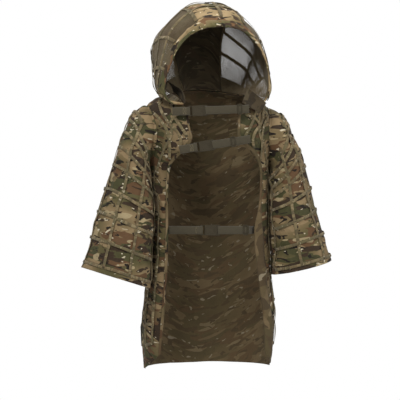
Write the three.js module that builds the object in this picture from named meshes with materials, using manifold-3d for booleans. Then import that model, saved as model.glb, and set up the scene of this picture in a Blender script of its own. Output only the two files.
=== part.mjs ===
// A hooded camouflage smock, the base garment of a ghillie suit, as worn: +Z up, facing -Y.
// The wearer's right is -X. The origin is the base of the neck. Millimetres.
import * as THREE from 'three';
import { mergeVertices } from 'three/addons/utils/BufferGeometryUtils.js';
import Module from 'manifold-3d';

const wasm = await Module();
wasm.setup();

// ---- driving dimensions ----
const shoulderHalf = 200;          // centre line to the shoulder tip
const neckHalf = 120;              // half width of the neckline at the side
const chestDepth = 130;            // centre line forward to the chest
const backDepth = 132;             // centre line back to the shoulder blades
const waistHalf = 188;             // half width of the body at the waist
const hemHalf = 208;               // half width of the body at the hem
const hemDrop = 843;               // neck base down to the back hem
const armholeDrop = 205;           // neck base down to the underarm
const sleeveHem = { right: [412, 520, 207, 586], left: [385, 502, 200, 548] }; // outer x, drop; inner x, drop
const sleeveDepth = 212;           // front to back across the sleeve's hem
const hoodRise = 390;              // height of the hood's crown control line
const brimForward = 152;           // centre line forward to the brim
const hoodTurn = 5;                // degrees the hood faces towards the wearer's left
const cloth = 3;                   // thickness of the garment's solids
const net = 2;                     // thickness of the hood's mesh solids
const seamGap = 1;                 // clearance between sewn neighbours
const tapeWidth = 9;
const tapeThick = 1.6;
const tapePitch = 71;              // distance between the lattice's cross tapes
const tapeGap = 2;                 // tape's clearance over the cloth
const strapWidth = 25;
const strapThick = 1.6;
const strapGap = 0.5;              // clearance of the webbing round a bar or over cloth
const buckleHeight = strapWidth + 9;
const buckleThick = 9;
const buckleWall = 2;
const frontHalf = { right: 94, left: 70 };   // opening's half width at the chest

const SIDES = { right: -1, left: 1 };

// ---- small helpers ----
const lerp = (a, b, t) => a + (b - a) * t;
const lerp3 = (a, b, t) => a.map((value, i) => lerp(value, b[i], t));
const add3 = (a, b, scale = 1) => a.map((value, i) => value + b[i] * scale);
const mirror = (point, sign) => [point[0] * sign, point[1], point[2]];
const vector = (point) => new THREE.Vector3(...point);

// A smooth run through a list of knots, at t from 0 to the last knot's index.
function spline(knots, t) {
  const last = knots.length - 1;
  const i = Math.min(Math.max(Math.floor(t), 0), last - 1);
  const f = t - i;
  const [a, b, c, d] = [Math.max(i - 1, 0), i, i + 1, Math.min(i + 2, last)].map((k) => knots[k]);
  return b.map((_, k) => {
    const slope0 = (c[k] - a[k]) / 2;
    const slope1 = (d[k] - b[k]) / 2;
    const rise = c[k] - b[k];
    return b[k] + f * (slope0 + f * (3 * rise - 2 * slope0 - slope1 + f * (slope0 + slope1 - 2 * rise)));
  });
}

function bezier(p, t) {
  const s = 1 - t;
  return p[0].map((_, k) => s * s * s * p[0][k] + 3 * s * s * t * p[1][k]
    + 3 * s * t * t * p[2][k] + t * t * t * p[3][k]);
}

// Unit normal of a surface point(a, b), by differences. The sign turns it outwards.
function normalOf(point, a, b, sign) {
  const step = 0.004;
  const da = vector(point(a + step, b)).sub(vector(point(a - step, b)));
  const db = vector(point(a, b + step)).sub(vector(point(a, b - step)));
  return da.cross(db).normalize().multiplyScalar(sign).toArray();
}

function meshOf(positions, triangles) {
  const geometry = new THREE.BufferGeometry();
  geometry.setAttribute('position', new THREE.Float32BufferAttribute(positions.flat(), 3));
  geometry.setIndex(triangles.flat());
  const solid = toSolid(geometry);
  if (solid.volume() < 0) geometry.setIndex(triangles.map(([a, b, c]) => [a, c, b]).flat());
  geometry.computeVertexNormals();
  return geometry;
}

// A closed shell over a grid of outer points, thickened along the reversed normals.
// ring joins the last column to the first.
function shell(outer, normals, thickness, ring = false) {
  const rows = outer.length;
  const columns = outer[0].length;
  const inner = outer.map((row, i) => row.map((point, j) => add3(point, normals[i][j], -thickness)));
  const positions = [...outer.flat(), ...inner.flat()];
  const id = (side, i, j) => side * rows * columns + i * columns + (j % columns);
  const triangles = [];
  const quad = (a, b, c, d) => triangles.push([a, b, c], [a, c, d]);
  const spans = ring ? columns : columns - 1;
  for (let i = 0; i < rows - 1; i++) {
    for (let j = 0; j < spans; j++) {
      quad(id(0, i, j), id(0, i + 1, j), id(0, i + 1, j + 1), id(0, i, j + 1));
      quad(id(1, i, j), id(1, i, j + 1), id(1, i + 1, j + 1), id(1, i + 1, j));
    }
  }
  for (let j = 0; j < spans; j++) {
    quad(id(0, 0, j), id(0, 0, j + 1), id(1, 0, j + 1), id(1, 0, j));
    quad(id(0, rows - 1, j), id(1, rows - 1, j), id(1, rows - 1, j + 1), id(0, rows - 1, j + 1));
  }
  if (!ring) {
    for (let i = 0; i < rows - 1; i++) {
      quad(id(0, i, 0), id(1, i, 0), id(1, i + 1, 0), id(0, i + 1, 0));
      const j = columns - 1;
      quad(id(0, i, j), id(0, i + 1, j), id(1, i + 1, j), id(1, i, j));
    }
  }
  return meshOf(positions, triangles);
}

// Outer points and normals of a surface over a grid of parameter pairs, lifted by a height.
function sample(point, pairs, sign, lift = 0) {
  const normals = pairs.map((row) => row.map(([a, b]) => normalOf(point, a, b, sign)));
  const outer = pairs.map((row, i) => row.map(([a, b], j) => add3(point(a, b), normals[i][j], lift)));
  return { outer, normals };
}

const range = (from, to) => Array.from({ length: to - from + 1 }, (_, i) => from + i);
const steps = (from, to, count) => Array.from({ length: count + 1 }, (_, i) => lerp(from, to, i / count));

// ---- booleans ----
function toSolid(geometry) {
  const bare = geometry.clone();
  bare.deleteAttribute('normal');
  bare.deleteAttribute('uv');
  const merged = mergeVertices(bare, 1e-4);
  return new wasm.Manifold(new wasm.Mesh({
    numProp: 3,
    vertProperties: new Float32Array(merged.attributes.position.array),
    triVerts: new Uint32Array(merged.index.array),
  }));
}

function toGeometry(solid) {
  const mesh = solid.getMesh();
  const geometry = new THREE.BufferGeometry();
  geometry.setAttribute('position', new THREE.BufferAttribute(mesh.vertProperties, 3));
  geometry.setIndex(new THREE.BufferAttribute(mesh.triVerts, 1));
  geometry.computeVertexNormals();
  return geometry;
}

const joined = (solids) => solids.reduce((sum, solid) => sum.add(solid));

// A net of flat tapes over a surface grid, lifted clear of it and joined where tapes cross.
// across and down are lists of tapes, each a list of neighbouring [row, column] cells.
function netOf(grid, across, down) {
  const nodes = new Map();
  const nodeAt = (cell) => {
    const key = cell.join();
    if (!nodes.has(key)) nodes.set(key, { cell, arms: {} });
    return nodes.get(key);
  };
  for (const [tapes, forward, backward] of [[across, 'east', 'west'], [down, 'south', 'north']]) {
    for (const cells of tapes) {
      for (let k = 0; k < cells.length - 1; k++) {
        nodeAt(cells[k]).arms[forward] = nodeAt(cells[k + 1]);
        nodeAt(cells[k + 1]).arms[backward] = nodeAt(cells[k]);
      }
    }
  }
  const positions = [];
  const triangles = [];
  const quad = (a, b, c, d) => triangles.push([a, b, c], [a, c, d]);
  // The corners of each node: [top, bottom] at the four signs of along and down.
  for (const node of nodes.values()) {
    const [i, j] = node.cell;
    const point = grid.outer[i][j];
    const normal = grid.normals[i][j];
    const { east, west, south, north } = node.arms;
    const toward = (a, b) => {
      const start = b ? vector(grid.outer[b.cell[0]][b.cell[1]]) : vector(point);
      const end = a ? vector(grid.outer[a.cell[0]][a.cell[1]]) : vector(point);
      return end.sub(start);
    };
    let along = toward(east, west);
    let fall = toward(south, north);
    node.crosses = along.length() > 0 && fall.length() > 0;
    const half = [along.length() > 0 && !node.crosses ? 0 : 1, fall.length() > 0 && !node.crosses ? 0 : 1];
    const below = vector(grid.outer[Math.min(i + 1, grid.outer.length - 1)][j]);
    const beside = vector(grid.outer[i][(j + 1) % grid.outer[i].length]).sub(vector(point));
    const drop = below.sub(vector(grid.outer[Math.max(i - 1, 0)][j]));
    const hand = Math.sign(beside.clone().cross(drop).dot(vector(normal)));
    if (along.length() === 0) along = fall.clone().cross(vector(normal)).multiplyScalar(hand);
    if (fall.length() === 0) fall = vector(normal).cross(along).multiplyScalar(hand);
    along.normalize();
    fall.normalize();
    node.corner = (alongSign, fallSign, top) => {
      const key = [alongSign * half[0], fallSign * half[1], top].join();
      node.ids ??= {};
      if (!(key in node.ids)) {
        const shift = along.clone().multiplyScalar(alongSign * half[0])
          .addScaledVector(fall, fallSign * half[1]).multiplyScalar(tapeWidth / 2).toArray();
        node.ids[key] = positions.length;
        positions.push(add3(add3(point, shift), normal, tapeGap + (top ? tapeThick : 0)));
      }
      return node.ids[key];
    };
  }
  for (const node of nodes.values()) {
    const { east, west, south, north } = node.arms;
    const c = node.corner;
    if (east) {
      const e = east.corner;
      quad(c(1, -1, 1), c(1, 1, 1), e(-1, 1, 1), e(-1, -1, 1));
      quad(c(1, -1, 0), e(-1, -1, 0), e(-1, 1, 0), c(1, 1, 0));
      quad(c(1, 1, 1), c(1, 1, 0), e(-1, 1, 0), e(-1, 1, 1));
      quad(c(1, -1, 0), c(1, -1, 1), e(-1, -1, 1), e(-1, -1, 0));
    }
    if (south) {
      const e = south.corner;
      quad(c(-1, 1, 1), e(-1, -1, 1), e(1, -1, 1), c(1, 1, 1));
      quad(c(-1, 1, 0), c(1, 1, 0), e(1, -1, 0), e(-1, -1, 0));
      quad(c(1, 1, 1), e(1, -1, 1), e(1, -1, 0), c(1, 1, 0));
      quad(c(-1, 1, 0), e(-1, -1, 0), e(-1, -1, 1), c(-1, 1, 1));
    }
    if (node.crosses) {
      quad(c(-1, -1, 1), c(-1, 1, 1), c(1, 1, 1), c(1, -1, 1));
      quad(c(-1, -1, 0), c(1, -1, 0), c(1, 1, 0), c(-1, 1, 0));
    }
    const runs = node.crosses ? [true, true] : [Boolean(east || west), Boolean(south || north)];
    if (runs[0] && !east) quad(c(1, -1, 1), c(1, 1, 1), c(1, 1, 0), c(1, -1, 0));
    if (runs[0] && !west) quad(c(-1, 1, 1), c(-1, -1, 1), c(-1, -1, 0), c(-1, 1, 0));
    if (runs[1] && !south) quad(c(1, 1, 1), c(-1, 1, 1), c(-1, 1, 0), c(1, 1, 0));
    if (runs[1] && !north) quad(c(-1, -1, 1), c(1, -1, 1), c(1, -1, 0), c(-1, -1, 0));
  }
  return meshOf(positions, triangles);
}

// A box solid between two corners.
function block(low, high) {
  const size = high.map((value, i) => value - low[i]);
  const geometry = new THREE.BoxGeometry(...size);
  geometry.translate(...low.map((value, i) => value + size[i] / 2));
  return toSolid(geometry);
}

// An outline in x and z extruded along y between two values, with small bevels.
function plate(shape, nearY, farY, bevel) {
  const geometry = new THREE.ExtrudeGeometry(shape, {
    depth: farY - nearY - 2 * bevel, bevelEnabled: bevel > 0, bevelThickness: bevel, bevelSize: bevel,
    bevelOffset: -bevel, bevelSegments: 1, curveSegments: 2,
  });
  geometry.rotateX(Math.PI / 2);
  geometry.translate(0, farY - bevel, 0);
  return toSolid(geometry);
}

function roundedShape(x0, z0, x1, z1, radius) {
  const shape = new THREE.Shape();
  shape.moveTo(x0 + radius, z0);
  shape.lineTo(x1 - radius, z0).absarc(x1 - radius, z0 + radius, radius, -Math.PI / 2, 0);
  shape.lineTo(x1, z1 - radius).absarc(x1 - radius, z1 - radius, radius, 0, Math.PI / 2);
  shape.lineTo(x0 + radius, z1).absarc(x0 + radius, z1 - radius, radius, Math.PI / 2, Math.PI);
  shape.lineTo(x0, z0 + radius).absarc(x0 + radius, z0 + radius, radius, Math.PI, 1.5 * Math.PI);
  return shape;
}

// ---- finish of each kind of piece ----
const finish = {
  camo: { color: 0x6b5f45, roughness: 0.9, metalness: 0 },
  mesh: { color: 0x6f6450, roughness: 0.95, metalness: 0 },
  lining: { color: 0x50452f, roughness: 0.95, metalness: 0 },
  tape: { color: 0x7d7052, roughness: 0.9, metalness: 0 },
  webbing: { color: 0x514b3c, roughness: 0.85, metalness: 0 },
  moulding: { color: 0x4b4531, roughness: 0.55, metalness: 0 },
};

const garment = new THREE.Group();
function put(name, geometry, kind, parent = garment) {
  const mesh = new THREE.Mesh(geometry, new THREE.MeshStandardMaterial(finish[kind]));
  mesh.name = name;
  parent.add(mesh);
  return mesh;
}

// ---- body of the smock ----
// Three columns of knots run from neckline to hem: side seam, centre back and front edge.
const belowArm = (share) => -lerp(armholeDrop, hemDrop, share);
const sideColumn = [
  [neckHalf, -5, 24], [lerp(neckHalf, shoulderHalf, 0.38), 0, 18], [lerp(neckHalf, shoulderHalf, 0.72), 0, 6],
  [shoulderHalf - 3, 0, -14], [shoulderHalf + 2, 0, -70], [shoulderHalf - 2, 0, -130],
  [shoulderHalf - 6, 0, -armholeDrop], [waistHalf, 0, belowArm(0.15)], [waistHalf, 0, belowArm(0.31)],
  [lerp(waistHalf, hemHalf, 0.55), 0, belowArm(0.54)], [hemHalf + 3, 0, belowArm(0.76)], [hemHalf - 4, 0, belowArm(1)],
];
const backColumn = [
  [0, backDepth - 40, 48], [0, backDepth - 28, 36], [0, backDepth - 14, 8], [0, backDepth - 6, -40],
  [0, backDepth - 2, -100], [0, backDepth, -160], [0, backDepth, -armholeDrop - 30], [0, backDepth - 2, belowArm(0.18)],
  [0, backDepth, belowArm(0.32)], [0, backDepth + 6, belowArm(0.54)], [0, backDepth + 12, belowArm(0.76)],
  [0, backDepth + 16, belowArm(1)],
];
// The opening is narrow under the two chest straps, then arches out to the sides of the body.
const edgeColumn = {
  right: [
    [frontHalf.right + 10, -chestDepth + 14, -22], [frontHalf.right + 3, -chestDepth + 6, -45],
    [frontHalf.right - 4, -chestDepth + 1, -85], [frontHalf.right - 11, -chestDepth, -125],
    [frontHalf.right + 17, -chestDepth + 8, -162], [frontHalf.right + 46, -chestDepth + 38, -200],
    [frontHalf.right + 53, -chestDepth + 52, -armholeDrop - 55], [frontHalf.right + 54, -chestDepth + 55, belowArm(0.2)],
    [frontHalf.right + 54, -chestDepth + 55, belowArm(0.32)], [frontHalf.right + 58, -chestDepth + 54, belowArm(0.54)],
    [frontHalf.right + 68, -chestDepth + 56, belowArm(0.76)], [frontHalf.right + 76, -chestDepth + 64, belowArm(0.92)],
  ],
  left: [
    [frontHalf.left + 22, -chestDepth + 14, -22], [frontHalf.left + 2, -chestDepth + 6, -45],
    [frontHalf.left - 4, -chestDepth + 1, -85], [frontHalf.left + 1, -chestDepth, -125],
    [frontHalf.left + 44, -chestDepth + 12, -158], [frontHalf.left + 75, -chestDepth + 40, -200],
    [frontHalf.left + 82, -chestDepth + 52, -armholeDrop - 55], [frontHalf.left + 77, -chestDepth + 50, belowArm(0.2)],
    [frontHalf.left + 60, -chestDepth + 40, belowArm(0.33)], [frontHalf.left + 74, -chestDepth + 46, belowArm(0.53)],
    [frontHalf.left + 95, -chestDepth + 58, belowArm(0.76)], [frontHalf.left + 102, -chestDepth + 66, belowArm(0.935)],
  ],
};
const lastKnot = sideColumn.length - 1;
const roundness = 0.55;            // how square the body's plan is between its columns

function frontPoint(side, s, v) {
  const m = spline(sideColumn, v);
  const e = spline(edgeColumn[side], v);
  const p1 = [m[0], lerp(m[1], e[1], roundness), lerp(m[2], e[2], 0.25)];
  const p2 = [lerp(e[0], m[0], roundness), e[1], lerp(m[2], e[2], 0.6)];
  return mirror(bezier([m, p1, p2, e], s), SIDES[side]);
}

// s runs from the right side seam at -1, over the centre back at 0, to the left side seam at 1.
function backPoint(s, v) {
  const m = spline(sideColumn, v);
  const b = spline(backColumn, v);
  const p1 = [m[0], lerp(m[1], b[1], roundness), lerp(m[2], b[2], 0.3)];
  const p2 = [m[0] * roundness, b[1], lerp(m[2], b[2], 0.9)];
  return mirror(bezier([b, p2, p1, m], Math.abs(s)), s < 0 ? -1 : 1);
}

// The armhole is an ellipse in the side seam's parameters.
const armhole = { middle: 4.5, half: 1.5, reach: 0.42 };
const seamShare = seamGap / 200;   // the seam's gap as a share of a quarter of the body
function notch(v) {
  const h = (v - armhole.middle) / armhole.half;
  return Math.abs(h) >= 1 ? 0 : armhole.reach * Math.sqrt(1 - h * h);
}
// Rows of the body's grids: close together down to the underarm, then one for each tape of the lattice.
function rowAtDrop(drop) {
  let [low, high] = [0, lastKnot];
  for (let i = 0; i < 40; i++) {
    const middle = (low + high) / 2;
    if (-spline(sideColumn, middle)[2] < drop) low = middle;
    else high = middle;
  }
  return low;
}
const upperRows = [0, 0.8, 1.5, 2.3, 3, 3.12, 3.5, 4, 4.5, 5, 5.5, 5.88, 6];
const lowerRows = steps(armholeDrop, hemDrop, Math.round((hemDrop - armholeDrop) / tapePitch)).slice(1);
const bodyRows = [...upperRows, ...lowerRows.map(rowAtDrop)];

const frontPairs = (side, from, to, count) => bodyRows.map((v) => {
  const start = notch(v) + seamShare;
  return steps(lerp(start, 1, from), lerp(start, 1, to), count).map((s) => [s, v]);
});
const backColumns = 14;
const backPairs = bodyRows.map((v) => {
  const reach = 1 - notch(v) - seamShare;
  return steps(-reach, reach, backColumns).map((s) => [s, v]);
});
// The lattice's cross tapes on the body follow these rows of its grids.
const crossRows = [3, 4, 5, 6].map((v) => bodyRows.indexOf(v))
  .concat(lowerRows.slice(0, -1).map((_, i) => upperRows.length + i));
const latticeTop = bodyRows.indexOf(1.5);
const bodyTape = bodyRows.map((_, i) => i).filter((i) => i >= latticeTop && ![3.12, 5.88].includes(bodyRows[i]));
{
  const back = sample(backPoint, backPairs, 1);
  put('back_panel', shell(back.outer, back.normals, cloth), 'camo');
  const inset = (i) => (i < upperRows.length ? 5 : 1);
  const across = crossRows.map((i) => range(inset(i), backColumns - inset(i)).map((j) => [i, j]));
  const down = [1, 3, 5, 7, 9, 11, 13].map((j) => (
    bodyTape.slice(0, -1).filter((i) => [5, 7, 9].includes(j) || i >= upperRows.length).map((i) => [i, j])
  ));
  put('lattice_back', netOf(back, across, down), 'tape');
}
const frontColumns = 5;
const frontTape = { right: 3, left: 2 };   // column of the tape nearest the front edge
const facingWidth = 0.2;           // share of the front panel that the edge facing lines
for (const side of Object.keys(SIDES)) {
  const point = (s, v) => frontPoint(side, s, v);
  const sign = SIDES[side];
  const panel = sample(point, frontPairs(side, 0, 1, frontColumns), sign);
  put(`front_panel_${side}`, shell(panel.outer, panel.normals, cloth), 'camo');
  const inner = frontTape[side];
  const across = crossRows.filter((i) => i >= upperRows.length).map((i) => range(1, inner).map((j) => [i, j]));
  const down = [1, inner].map((j) => (
    bodyTape.filter((i) => (j > 1 ? bodyRows[i] > 2 : i >= upperRows.length)).slice(0, -1).map((i) => [i, j])
  ));
  put(`lattice_front_${side}`, netOf(panel, across, down), 'tape');
  const strip = frontPairs(side, 1 - facingWidth, 1, 1);
  const facing = sample(point, strip, sign, -cloth - seamGap);
  put(`edge_facing_${side}`, shell(facing.outer, facing.normals, cloth / 2), 'lining');
}

// ---- sleeves ----
// Each ring lies between an outer line from the shoulder tip and an inner line from the underarm.
function sleeveColumns(side) {
  const [outX, outDrop, inX, inDrop] = sleeveHem[side];
  const elbow = [shoulderHalf + 91, -30, -146];
  const outHem = [outX, -50, -outDrop];
  const under = [shoulderHalf - 10, -38, -lerp(armholeDrop, inDrop, 0.4)];
  const innerHem = [inX, -50, -inDrop];
  return {
    outer: [
      [shoulderHalf, 0, -2], [shoulderHalf + 25, -5, -17], [shoulderHalf + 46, -12, -43],
      [shoulderHalf + 64, -20, -86], elbow, lerp3(elbow, outHem, 0.33), lerp3(elbow, outHem, 0.67), outHem,
    ],
    inner: [
      [shoulderHalf - 3, 0, -armholeDrop], [shoulderHalf - 1, -4, -armholeDrop - 7],
      [shoulderHalf - 1, -8, -armholeDrop - 17], [shoulderHalf - 3, -14, -armholeDrop - 35],
      [shoulderHalf - 5, -24, -armholeDrop - 70], under, lerp3(under, innerHem, 0.5), innerHem,
    ],
    half: [80, 82, 84, 86, 88, 92, 98, sleeveDepth / 2].map((value) => [value]),
  };
}
// The armhole's edge on the body, lifted clear of it. Angle 0 is the shoulder, 90 degrees the front.
function armholeEdge(side, angle) {
  const v = armhole.middle - armhole.half * Math.cos(angle);
  const s = armhole.reach * Math.abs(Math.sin(angle));
  const front = Math.sin(angle) >= 0;
  const point = front ? (a, b) => frontPoint(side, a, b) : (a, b) => backPoint(SIDES[side] * (1 - a), b);
  const normal = normalOf(point, s, v, 1);
  const outward = vector(normal).dot(new THREE.Vector3(SIDES[side], 0, 0)) > 0 ? 1 : -1;
  return add3(point(s, v), normal, outward * (cloth + 2 * seamGap));
}
function sleevePoint(side) {
  const columns = sleeveColumns(side);
  return (turn, v) => {
    const angle = turn * 2 * Math.PI;
    const o = spline(columns.outer, v);
    const u = spline(columns.inner, v);
    const half = spline(columns.half, v)[0];
    const ring = [0, 1, 2].map((k) => (o[k] + u[k]) / 2 + Math.cos(angle) * (o[k] - u[k]) / 2);
    ring[1] -= Math.sin(angle) * half;
    const settle = THREE.MathUtils.smoothstep(v, 0, 2);
    return lerp3(armholeEdge(side, angle), mirror(ring, SIDES[side]), settle);
  };
}
const sleeveRows = [0, 0.4, 1, 1.8, 2.6, 3.3, 4, 4.45, 5, 5.6, 6.2, 6.75, 7];
const firstCrossRow = 6;
const sleeveTurns = 18;
for (const side of Object.keys(SIDES)) {
  const point = sleevePoint(side);
  const pairs = sleeveRows.map((v) => steps(0, 1, sleeveTurns).slice(0, -1).map((turn) => [turn, Math.max(v, 0.004)]));
  const grid = sample(point, pairs, SIDES[side]);
  put(`sleeve_${side}`, shell(grid.outer, grid.normals, cloth, true), 'camo');
  const wrap = (j) => (j + sleeveTurns) % sleeveTurns;
  const hem = sleeveRows.length - 1;
  const across = range(firstCrossRow, hem - 1).map((i) => range(-8, 8).map((j) => [i, wrap(j)]));
  const down = [0, 3, 5, 8, -3, -5, -8].map((j) => range(firstCrossRow - 3, hem).map((i) => [i, wrap(j)]));
  put(`lattice_sleeve_${side}`, netOf(grid, across, down), 'tape');
}

// ---- hood ----
// Four rows of knots from the brim's centre round to the front corner: rim, two control rows, neckline.
const hoodRim = [
  [0, -brimForward, 226], [48, -brimForward + 4, 222], [92, -brimForward + 16, 205], [126, -brimForward + 26, 174],
  [152, -brimForward + 32, 130], [166, -brimForward + 35, 78], [168, -brimForward + 37, 25],
  [146, -brimForward + 34, -10], [112, -brimForward + 31, -16],
];
const hoodFront = [
  [0, -62, hoodRise], [55, -60, hoodRise - 8], [108, -56, hoodRise - 55], [160, -55, hoodRise - 128],
  [176, -55, hoodRise - 200], [192, -60, hoodRise - 278], [196, -68, hoodRise - 345], [170, -90, hoodRise - 385],
  [113, -118, hoodRise - 402],
];
const hoodBack = [
  [0, 262, 345], [58, 262, 340], [125, 225, 290], [205, 170, 210], [206, 110, 140], [208, 55, 92],
  [202, -5, 55], [165, -60, 20], [109, -114, -14],
];
const hoodLast = hoodRim.length - 1;
// The neckline of the body at u, from the centre back to the front corner of one side.
function neckline(side, u) {
  const share = u / hoodLast;
  const turn = 0.56;               // where the neckline passes from the back to the front panel
  return share < turn
    ? backPoint(SIDES[side] * share / turn, 0)
    : frontPoint(side, (share - turn) / (1 - turn) * 0.985, 0);
}
// The hood's turn grows from nothing at the neck to its full angle over its lower third.
function turned(point) {
  const angle = THREE.MathUtils.degToRad(hoodTurn) * THREE.MathUtils.smoothstep(point[2], 0, hoodRise * 0.35);
  const [x, y, z] = point;
  return [x * Math.cos(angle) - y * Math.sin(angle), x * Math.sin(angle) + y * Math.cos(angle), z];
}
// u is negative on the wearer's right. t runs from the rim at 0 to the neckline at 1.
function hoodPoint(u, t) {
  const side = u < 0 ? 'right' : 'left';
  const along = Math.min(Math.abs(u), hoodLast);
  const rows = [hoodRim, hoodFront, hoodBack].map((row) => mirror(spline(row, along), SIDES[side])).map(turned);
  if (along > hoodLast - 1) {
    const corner = neckline(side, hoodLast)[0] - SIDES[side] * hoodBack[hoodLast][0];
    rows.forEach((point) => { point[0] += corner * (along - hoodLast + 1); });
  }
  const lift = lerp(cloth, 2 * cloth, THREE.MathUtils.smoothstep(along, hoodLast - 1, hoodLast)) + seamGap;
  const neck = add3(neckline(side, along), [0, 0, lift]);
  return bezier([...rows, neck], t);
}
const crownReach = 1.6;
const hoodEnd = hoodLast - 0.02;
const hoodRows = steps(0, 1, 10);
const hoodGrid = (columns) => hoodRows.map((t) => columns.map((u) => [u, t]));
function hoodShell(name, pairs, lift, thickness, kind) {
  const { outer, normals } = sample(hoodPoint, pairs, 1, lift);
  return put(name, shell(outer, normals, thickness), kind);
}
const hoodSeam = 0.012;
const crownColumns = steps(-crownReach + hoodSeam, crownReach - hoodSeam, 4);
const meshColumns = steps(crownReach + hoodSeam, hoodEnd, 8);
const rightColumns = meshColumns.map((u) => -u).reverse();
hoodShell('hood_crown', hoodGrid(crownColumns), 0, cloth, 'camo');
hoodShell('hood_mesh_right', hoodGrid(rightColumns), 0, net, 'mesh');
hoodShell('hood_mesh_left', hoodGrid(meshColumns), 0, net, 'mesh');

// The rim's band lies over the panels' front edges at one width all round.
const rimBand = 25;
const allColumns = [...rightColumns, ...crownColumns.slice(1, -1), ...meshColumns];
function bandShare(u) {
  const points = hoodRows.map((t) => vector(hoodPoint(u, t)));
  const length = points.slice(1).reduce((sum, point, i) => sum + point.distanceTo(points[i]), 0);
  return Math.min(rimBand / length, 0.45);
}
const bandPairs = [0, 0.5, 1].map((share) => allColumns.map((u) => [u, share * bandShare(u)]));
hoodShell('hood_rim', bandPairs, cloth / 2 + seamGap * 1.5, cloth / 2, 'camo');
{
  const grid = sample(hoodPoint, hoodGrid(allColumns), 1);
  const centre = (allColumns.length - 1) / 2;
  const arcs = [[2, 6], [4, 8], [6, 8]];             // row of the grid, and its reach either side of the centre
  const across = arcs.map(([i, reach]) => range(centre - reach, centre + reach).map((j) => [i, j]));
  const radials = [[0, 2], [2, 2], [4, 2], [6, 2], [8, 4]];  // column from the centre, and its first row
  const down = radials.flatMap(([reach, first]) => [-1, 1].slice(reach ? 0 : 1).map((sign) => (
    range(first, hoodRows.length - 3).map((i) => [i, centre + sign * reach])
  )));
  put('lattice_hood', netOf(grid, across, down), 'tape');
}

// Fabric flaps at the front corners of the hood: the left is turned out, the right stands inside.
function flap(name, corners) {
  const [a, b, c, d] = corners;
  const point = (x, y) => lerp3(lerp3(a, b, x), lerp3(d, c, x), y);
  const { outer, normals } = sample(point, steps(0, 1, 2).map((y) => steps(0, 1, 2).map((x) => [x, y])), 1);
  return put(name, shell(outer, normals, cloth / 2), 'lining');
}
flap('neck_flap_left', [
  [82, -chestDepth - 3, -12], [108, -chestDepth + 2, 36], [166, -chestDepth + 3, -4], [150, -chestDepth - 1, -30],
]);
flap('neck_flap_right', [[-97, -98, -12], [-100, -66, 36], [-136, -8, 68], [-110, 0, 36]]);

// ---- chest and waist straps ----
// Each strap's own frame: x along it towards the wearer's left, y into the body, z up,
// with its origin at the mouth of the buckle's female half.
const straps = [
  { name: 'upper', mouth: -48, z: -35, tilt: 3, slider: 116, start: -50, end: 146 },
  { name: 'middle', mouth: -26, z: -142, tilt: 9, slider: 74, start: -50, end: 130 },
  { name: 'lower', mouth: -4, z: -405, tilt: 0, slider: 95, edge: true },
];
const barHalf = 1.5;               // half the thickness of a bar the webbing turns round
const runY = barHalf + strapGap + strapThick / 2;   // webbing's centre line from the strap's middle plane
const webHalf = strapWidth / 2;
const railInner = webHalf + 0.7;
const slotTurn = 2.5;              // from a bar's inner side to the webbing's turn
const femaleLength = 48;
const femaleBody = 36;
const barDepth = 3.2;
const maleFrame = 12.4;
const mouthGap = 0.4;

// A band of webbing along a line of [x, y] points, one strap width tall.
function webbing(line) {
  const offset = (sign) => line.map((point, i) => {
    const before = line[Math.max(i - 1, 0)];
    const after = line[Math.min(i + 1, line.length - 1)];
    const [dx, dy] = [after[0] - before[0], after[1] - before[1]];
    const length = Math.hypot(dx, dy);
    return [point[0] - sign * dy / length * strapThick / 2, point[1] + sign * dx / length * strapThick / 2];
  });
  const outline = [...offset(1), ...offset(-1).reverse()];
  const shape = new THREE.Shape(outline.map(([x, y]) => new THREE.Vector2(x, y)));
  const geometry = new THREE.ExtrudeGeometry(shape, { depth: strapWidth, bevelEnabled: false });
  geometry.translate(0, 0, -webHalf);
  return geometry;
}

// The webbing's turn round a bar: towards says which way along x the bar's slot lies.
function turnRound(barSide, towards) {
  const far = barSide + towards * slotTurn;
  return [[-1, -1], [-0.45, -0.9], [-0.1, -0.5], [0, 0], [-0.1, 0.5], [-0.45, 0.9], [-1, 1]]
    .map(([x, y]) => [far + towards * x * 1.6, y * runY]);
}

// The front surface's y over a strap's height at x, z: the place that stands furthest forward.
function chestY(side, x, z) {
  let nearest = 0;
  for (const v of steps(0.2, lastKnot - 1, 260)) {
    const edge = spline(edgeColumn[side], v);
    if (Math.abs(edge[2] - z) > 160) continue;
    for (const s of steps(0.35, 1, 26)) {
      const point = frontPoint(side, s, v);
      const close = Math.abs(point[0] - x) < 5 && Math.abs(point[2] - z) < webHalf + 4;
      if (close) nearest = Math.min(nearest, point[1]);
    }
  }
  return nearest;
}

// The front surface's y over a strap's height at x, z: the place that stands furthest back.
function innerY(side, x, z) {
  let furthest = -Infinity;
  for (const v of steps(0.2, lastKnot, 260)) {
    if (Math.abs(spline(edgeColumn[side], v)[2] - z) > 160) continue;
    for (const s of steps(0.35, 1, 80)) {
      const point = frontPoint(side, s, v);
      const close = Math.abs(point[0] - x) < 5 && Math.abs(point[2] - z) < webHalf + 4;
      if (close) furthest = Math.max(furthest, point[1]);
    }
  }
  return furthest;
}

function edgeAt(side, z) {
  return steps(0, lastKnot, 400).map((v) => mirror(spline(edgeColumn[side], v), SIDES[side]))
    .reduce((best, point) => (Math.abs(point[2] - z) < Math.abs(best[2] - z) ? point : best));
}

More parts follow.
